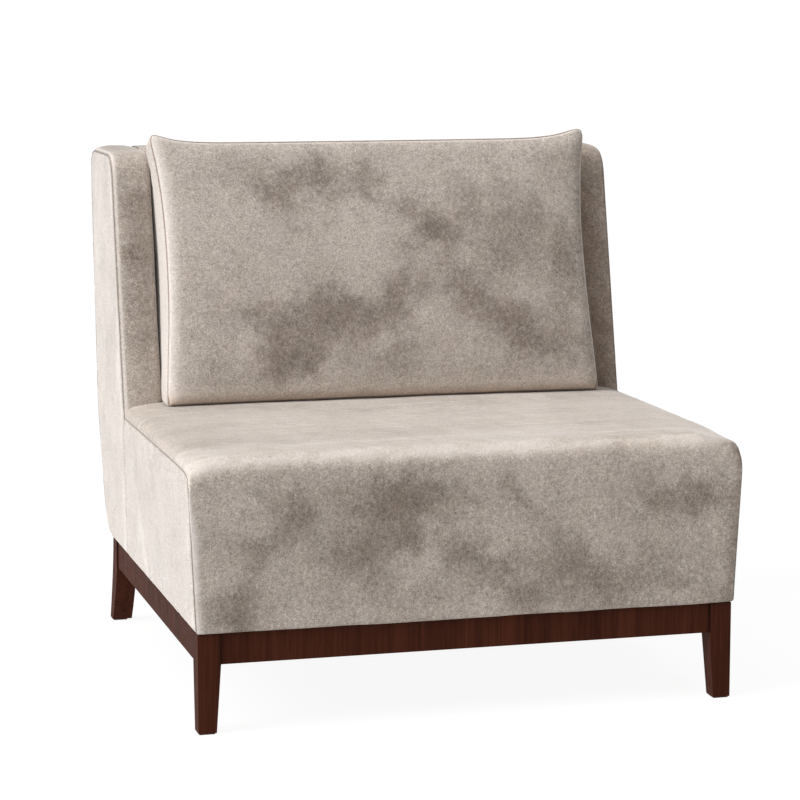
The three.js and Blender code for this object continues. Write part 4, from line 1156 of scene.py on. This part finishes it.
# the front's clouds, with painted light: a lighter left edge and left part facing the light, a lighter bottom from
# light bounced off the seat, a highlight on the top rim; at the right edge painted shade with a thin highlight
pf = blobs(CLOUDS_CUSHION, face_front, cushion_uv) \
    - 0.88 * np.exp(-(d_face["i0"] / 18.0) ** 2) - 0.26 * np.exp(-(d_face["i0"] / 120.0) ** 2) \
    - 0.76 * np.exp(-(d_face["j0"] / 28.0) ** 2) - painted_rim_highlight(d_face["j1"], 5, 2.5) \
    - 0.35 * painted_rim_highlight(d_face["i1"], 5, 2.5) + 0.30 * np.exp(-((d_face["i1"] - 6) / 12.0) ** 2)
# painted bounce light: a warm tint along the bottom from light thrown off the seat
painted_bounce = np.exp(-(d_face["j0"] / 24.0) ** 2)
pb = blobs(scatter(31, 20, (-370, 20), (370, 440), 26, 56), face_back, cushion_uv)
# the band: light clouds, and the whole band made lighter as painted light; darker towards the top and along the top
# between the ears
pr = 0.25 * blobs(scatter(33, 16, (-400, 0), (400, 470), 24, 46), B, cushion_uv) - 0.84 \
    + 0.30 * smooth_step((cushion_uv(B)[1] - 330) / 120) \
    + 0.50 * smooth_step((cushion_uv(B)[1] - 440) / 12) * smooth_step((382 - np.abs(B[..., 0])) / 20)
cushion = new_object("cushion_cover_sewn", all_v, np.vstack([f_front, f_back, f_band]),
                     {"seam": np.r_[seam_f.ravel(), seam_b.ravel(), seam_band.ravel()],
                      "patch": np.r_[pf.ravel(), pb.ravel(), pr.ravel()],
                      "painted_bounce": np.r_[painted_bounce.ravel(), 0 * pb.ravel(), 0 * pr.ravel()]})
bm = bmesh.new()
bm.from_mesh(cushion.data)
bmesh.ops.remove_doubles(bm, verts=bm.verts, dist=0.00003)
bmesh.ops.recalc_face_normals(bm, faces=bm.faces)
bm.to_mesh(cushion.data)
bm.free()
place(shell(cushion, 1.8), "back_cushion", velvet("velvet_cushion", move=(0.7, 0.2, 0.9), seam_shade=0.22, tone=1.02, pale=(179, 170, 162), sheen=0.45), ["cushion_cover"])


# ------------------------------------------------------- soft pieces inside
def inner_piece(name, node, material, body, move, bevel=4.0, lumps=0.5, seed=3, cuts=26.0):
    """a foam or wadding piece from its own solid: drawn in and its edges rounded"""
    src = NODES[node]
    me = src.data.copy()
    me.name = name
    bm = bmesh.new()
    bm.from_mesh(me)
    bmesh.ops.remove_doubles(bm, verts=bm.verts, dist=0.00001)
    for v in bm.verts:
        p = np.array(v.co) * 1000 - [0, SHIFT_Y, 0]
        v.co = Vector((move(p, np.array(v.normal)) + [0, SHIFT_Y, 0]) * 0.001)
    bmesh.ops.dissolve_limit(bm, angle_limit=0.01, verts=bm.verts, edges=bm.edges)
    bmesh.ops.triangulate(bm, faces=bm.faces)
    bm.to_mesh(me)
    bm.free()
    ob = bpy.data.objects.new(name, me)
    bpy.context.scene.collection.objects.link(ob)
    b = ob.modifiers.new("round", "BEVEL")
    b.width = bevel * 0.001
    b.segments = 3
    b.limit_method = "ANGLE"
    b.angle_limit = math.radians(40)
    me.shade_flat()
    return place(ob, body, material, [node])


def inset(d):
    return lambda p, n: p - n * d


def from_side(d):
    def go(p, n):
        q = p.copy()
        if abs(q[0]) > 451.5:
            q[0] -= math.copysign(min(d, abs(abs(q[0]) - 451.2) * 0.5), q[0])
        return q
    return go




def seat_inset(p, n):
    q = p - n * 1.8
    if abs(q[0]) > 440:
        q[0] -= math.copysign(6.0, q[0])
    if q[2] > 380 and abs(q[0]) > 425:
        q[2] -= 3.0
    return q


inner_piece("seat_foam_block", "seat_foam", foam_seat, "frame", seat_inset, 6)
inner_piece("seat_front_wadding", "seat_front_pad", wadding, "frame", lambda p, n: p + [0, 1.0 if p[1] < -406 else 0, 0], 1.2)
for side in ("left", "right"):
    inner_piece(f"seat_side_wadding_{side}", f"seat_side_pad_{side}", wadding, "frame", from_side(2.4), 1.2)
    inner_piece(f"back_side_wadding_{side}", f"side_pad_{side}", wadding, "frame", from_side(2.4), 1.2)
    inner_piece(f"wing_foam_block_{side}", f"wing_foam_{side}", foam_seat, "frame", inset(1.4), 3)


def back_inset(p, n):
    q = p - n * 1.4
    if abs(q[0]) > 375:
        q[0] -= math.copysign(5.0, q[0])
    if q[2] > 800:
        q[2] -= 3.5
    return q


def fill_inset(p, n):
    """the filling does not reach into the cover's pulled-out corners"""
    q = p - n * 3.4
    u, up = abs(q[0]), (q[1] - 190.2) * SIN + (q[2] - 440.0) * COS
    ear = smooth_step((u - 330) / 50) * smooth_step((up - 400) / 40)
    q[0] -= math.copysign(13.0 * ear, q[0])
    return q - np.array([0, SIN, COS]) * 15.0 * ear


inner_piece("inside_back_foam_block", "inside_back_foam", foam_seat, "frame", back_inset, 5)
inner_piece("cushion_filling", "cushion_insert", fibre, "back_cushion", fill_inset, 7)
inner_piece("spring_felt", "seat_insulator", felt, "frame", lambda p, n: p, 0.4)


# springy straps behind the inside back
def strap(name, node, z):
    lo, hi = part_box(node)
    us = np.linspace(lo[0], hi[0], 61) * 1000
    vs = np.linspace(-25, 25, 9)
    y = inside_back(z) + 58
    sag = 3.5 * np.cos(np.clip(us / us[-1], -1, 1) * math.pi / 2)
    P = np.stack([us[:, None] * np.ones(9), y + (vs * SIN)[None] + sag[:, None],
                  z + (vs * COS)[None] + 0 * us[:, None]], -1)
    ob = new_object(name, P, grid_faces(61, 9))
    shell(ob, 1.8)
    return place(ob, "frame", webbing, [node])


for k, z in enumerate((520, 660, 800)):
    strap(f"back_strap_{k + 1}", f"back_web_{k + 1}", z)

# dust cloth under the seat, tacked along its edges and slack between
lo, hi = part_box("dust_cover")
x1, y0, y1 = hi[0] * 1000, lo[1] * 1000 - SHIFT_Y, hi[1] * 1000 - SHIFT_Y
us = np.linspace(-x1, x1, 121)
vs = np.linspace(y0, y1, 111)
notch_x, notch_y0, notch_y1 = 411.6, -368.0, 368.0
gx = np.clip(1 - (us / x1) ** 6, 0, 1)
gy = np.clip(1 - (2 * (vs - y0) / (y1 - y0) - 1) ** 6, 0, 1)
P = np.stack([us[:, None] * np.ones(len(vs)), vs[None] * np.ones((len(us), 1)), np.zeros((len(us), len(vs)))], -1)
sag = 5.5 * (np.cos(us / x1 * math.pi / 2) ** 0.7)[:, None] * (np.sin((vs - y0) / (y1 - y0) * math.pi) ** 0.7)[None]
P[..., 2] = 156.9 - sag + 0.5 * waves(97, 120)(P) * gx[:, None] * gy[None] \
    + 0.45 * waves(98, 26)(P) * (1 - gx[:, None] * gy[None]) * 0.7
um, vm = (us[:-1] + us[1:]) / 2, (vs[:-1] + vs[1:]) / 2
keep = ~((np.abs(um)[:, None] > notch_x) & ((vm[None] > notch_y1) | (vm[None] < notch_y0)))
dust = new_object("dust_cloth_sheet", P, grid_faces(len(us), len(vs), flip=True, keep=keep))
shell(dust, 0.6)
place(dust, "frame", dust_cloth, ["dust_cover"])

# ------------------------------------------------------------------ the zip
zip_y = 190.2 + 10 * SIN + 10 * COS
tape_lo, tape_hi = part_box("zip_tape")
us = np.linspace(-ZIP_HALF - 11.5, ZIP_HALF + 11.5, 161)
vs = np.linspace(-10.6, 10.6, 13)
P = np.stack([us[:, None] * np.ones(13), zip_y + vs[None] + 0 * us[:, None],
              456.7 - 0.25 * np.exp(-(vs / 2.0) ** 2)[None] + 0.15 * waves(99, 24)(
                  np.stack([us[:, None] * np.ones(13), vs[None] + 0 * us[:, None], np.zeros((161, 13))], -1))], -1)
tape = new_object("zip_tape_woven", P, grid_faces(161, 13))
shell(tape, 0.7)
place(tape, "back_cushion", tape_cloth, ["zip_tape"])


def block(bm, x0, x1, ya, yb, z0, z1):
    vs = [bm.verts.new(((x + 0.0) * 0.001, (y + SHIFT_Y) * 0.001, z * 0.001))
          for z in (z0, z1) for y in (ya, yb) for x in (x0, x1)]
    for f in ((0, 2, 3, 1), (4, 5, 7, 6), (0, 1, 5, 4), (2, 6, 7, 3), (0, 4, 6, 2), (1, 3, 7, 5)):
        bm.faces.new([vs[k] for k in f])


bm = bmesh.new()
pitch, count = 1.9, int(2 * (ZIP_HALF - 4) / 1.9)
for k in range(count):
    x = -ZIP_HALF + 4 + k * pitch
    sgn = 1 if k % 2 else -1
    block(bm, x - 0.6, x + 0.6, zip_y + (sgn * 0.9) - 1.35, zip_y + (sgn * 0.9) + 1.35, 454.0, 455.75)
me = bpy.data.meshes.new("zip_teeth")
bm.to_mesh(me)
bm.free()
teeth = bpy.data.objects.new("zip_teeth", me)
bpy.context.scene.collection.objects.link(teeth)
mod = teeth.modifiers.new("round", "BEVEL")
mod.width, mod.segments = 0.00025, 2
place(teeth, "back_cushion", zip_metal)

bm = bmesh.new()
xs = ZIP_HALF - 26
block(bm, xs - 7.6, xs + 7.6, zip_y - 3.7, zip_y + 3.7, 450.9, 452.5)
block(bm, xs - 7.6, xs + 7.6, zip_y - 3.7, zip_y - 2.75, 452.5, 455.0)
block(bm, xs - 7.6, xs + 7.6, zip_y + 2.75, zip_y + 3.7, 452.5, 455.0)
block(bm, xs - 6.8, xs - 3.4, zip_y - 1.1, zip_y + 1.1, 449.6, 450.9)
block(bm, xs - 7.0, xs + 21.5, zip_y - 2.5, zip_y - 1.2, 449.55, 450.45)
block(bm, xs - 7.0, xs + 21.5, zip_y + 1.2, zip_y + 2.5, 449.55, 450.45)
block(bm, xs + 8.0, xs + 21.5, zip_y - 1.2, zip_y + 1.2, 449.6, 450.4)
bmesh.ops.remove_doubles(bm, verts=bm.verts, dist=0.000001)
me = bpy.data.meshes.new("zip_slider_body")
bm.to_mesh(me)
bm.free()
slider = bpy.data.objects.new("zip_slider_body", me)
bpy.context.scene.collection.objects.link(slider)
mod = slider.modifiers.new("round", "BEVEL")
mod.width, mod.segments = 0.0003, 2
place(slider, "zip_slider", zip_metal, ["zip_slider"])


# ------------------------------------------- carried-over pieces and their looks
def dress(node, material, bevel=0.0, segments=2):
    ob = NODES[node]
    if not ob.data.materials:
        ob.data.materials.append(material)
    for sl in ob.material_slots:
        sl.material = material
    if bevel:
        b = ob.modifiers.new("edge", "BEVEL")
        b.width = bevel * 0.001
        b.segments = segments
        b.limit_method = "ANGLE"
        b.angle_limit = math.radians(35)


for a in ("front", "rear"):
    for b in ("left", "right"):
        dress(f"leg_{a}_{b}", espresso, 1.3, 3)
        dress(f"glide_{a}_{b}", glide_plastic, 0.5)
        dress(f"corner_block_{a}_{b}", frame_wood, 0.8)
        dress(f"leg_bolt_{a}_{b}", bolt_steel, 0.3)
for k in ("front", "rear", "left", "right"):
    dress(f"base_rail_{k}", espresso, 0.8, 2)
    dress(f"seat_board_{k}", plywood_y if k in ("left", "right") else plain_wood(f"plywood_{k}", (212, 184, 138), (188, 154, 108), "x"), 0.6)
for k in range(1, 6):
    dress(f"seat_spring_{k}", spring_steel)
    NODES[f"seat_spring_{k}"].data.shade_smooth()
for k in ("left", "right"):
    dress(f"wing_panel_{k}", plywood, 0.6)
dress("back_rail_top", frame_wood, 0.8)
dress("back_rail_bottom", frame_wood, 0.8)

# ------------------------------------------------------ floor, lights, camera
me = bpy.data.meshes.new("floor")
bm = bmesh.new()
bmesh.ops.create_grid(bm, x_segments=24, y_segments=24, size=14)
bm.to_mesh(me)
bm.free()
floor = bpy.data.objects.new("floor", me)
bpy.context.scene.collection.objects.link(floor)
n = Nodes("floor")
n.set(base=(0.08, 0.08, 0.08, 1), rough=0.95, spec=0.05)
n.shader.inputs["Emission Color"].default_value = (1, 1, 1, 1)
n.shader.inputs["Emission Strength"].default_value = 0.925
me.materials.append(n.m)

world = bpy.data.worlds.new("studio")
bpy.context.scene.world = world
world.use_nodes = True
tree = world.node_tree
bg = tree.nodes["Background"]
seen = tree.nodes.new("ShaderNodeLightPath")
shade = tree.nodes.new("ShaderNodeMix")
shade.data_type = "RGBA"
shade.inputs[6].default_value = (1.0, 0.978, 0.950, 1)
shade.inputs[7].default_value = (1.0, 1.0, 1.0, 1)
tree.links.new(seen.outputs["Is Camera Ray"], shade.inputs[0])
tree.links.new(shade.outputs[2], bg.inputs[0])
level = tree.nodes.new("ShaderNodeMapRange")
level.inputs["To Min"].default_value = 0.25          # what lights the chair
level.inputs["To Max"].default_value = 1.05          # the pale backdrop
tree.links.new(seen.outputs["Is Camera Ray"], level.inputs["Value"])
tree.links.new(level.outputs[0], bg.inputs[1])


def sun(name, towards, power, soft, colour=(1, 1, 1)):
    li = bpy.data.lights.new(name, "SUN")
    li.energy, li.angle, li.color = power, math.radians(soft), colour
    ob = bpy.data.objects.new(name, li)
    ob.rotation_euler = Vector(towards).to_track_quat("-Z", "Y").to_euler()
    bpy.context.scene.collection.objects.link(ob)
    return ob


sun("key_left", (0.80, 0.16, -0.56), 3.5, 34, (1.0, 0.997, 0.995))
sun("top_soft", (0.10, 0.20, -1.0), 1.5, 60, (1.0, 0.995, 0.985))

cam = bpy.data.cameras.new("camera")
cam.lens, cam.sensor_width, cam.sensor_fit = 121.05, 36, "AUTO"
cam.clip_start, cam.clip_end = 0.05, 100
camera = bpy.data.objects.new("camera", cam)
camera.location = (-1.2351, -4.5277, 1.1469)
camera.rotation_euler = (Vector((-0.0084, -0.055, 0.46135)) - camera.location).to_track_quat("-Z", "Y").to_euler()
bpy.context.scene.collection.objects.link(camera)
bpy.context.scene.camera = camera
bpy.context.scene.view_settings.view_transform = "Standard"
bpy.context.scene.view_settings.look = "None"
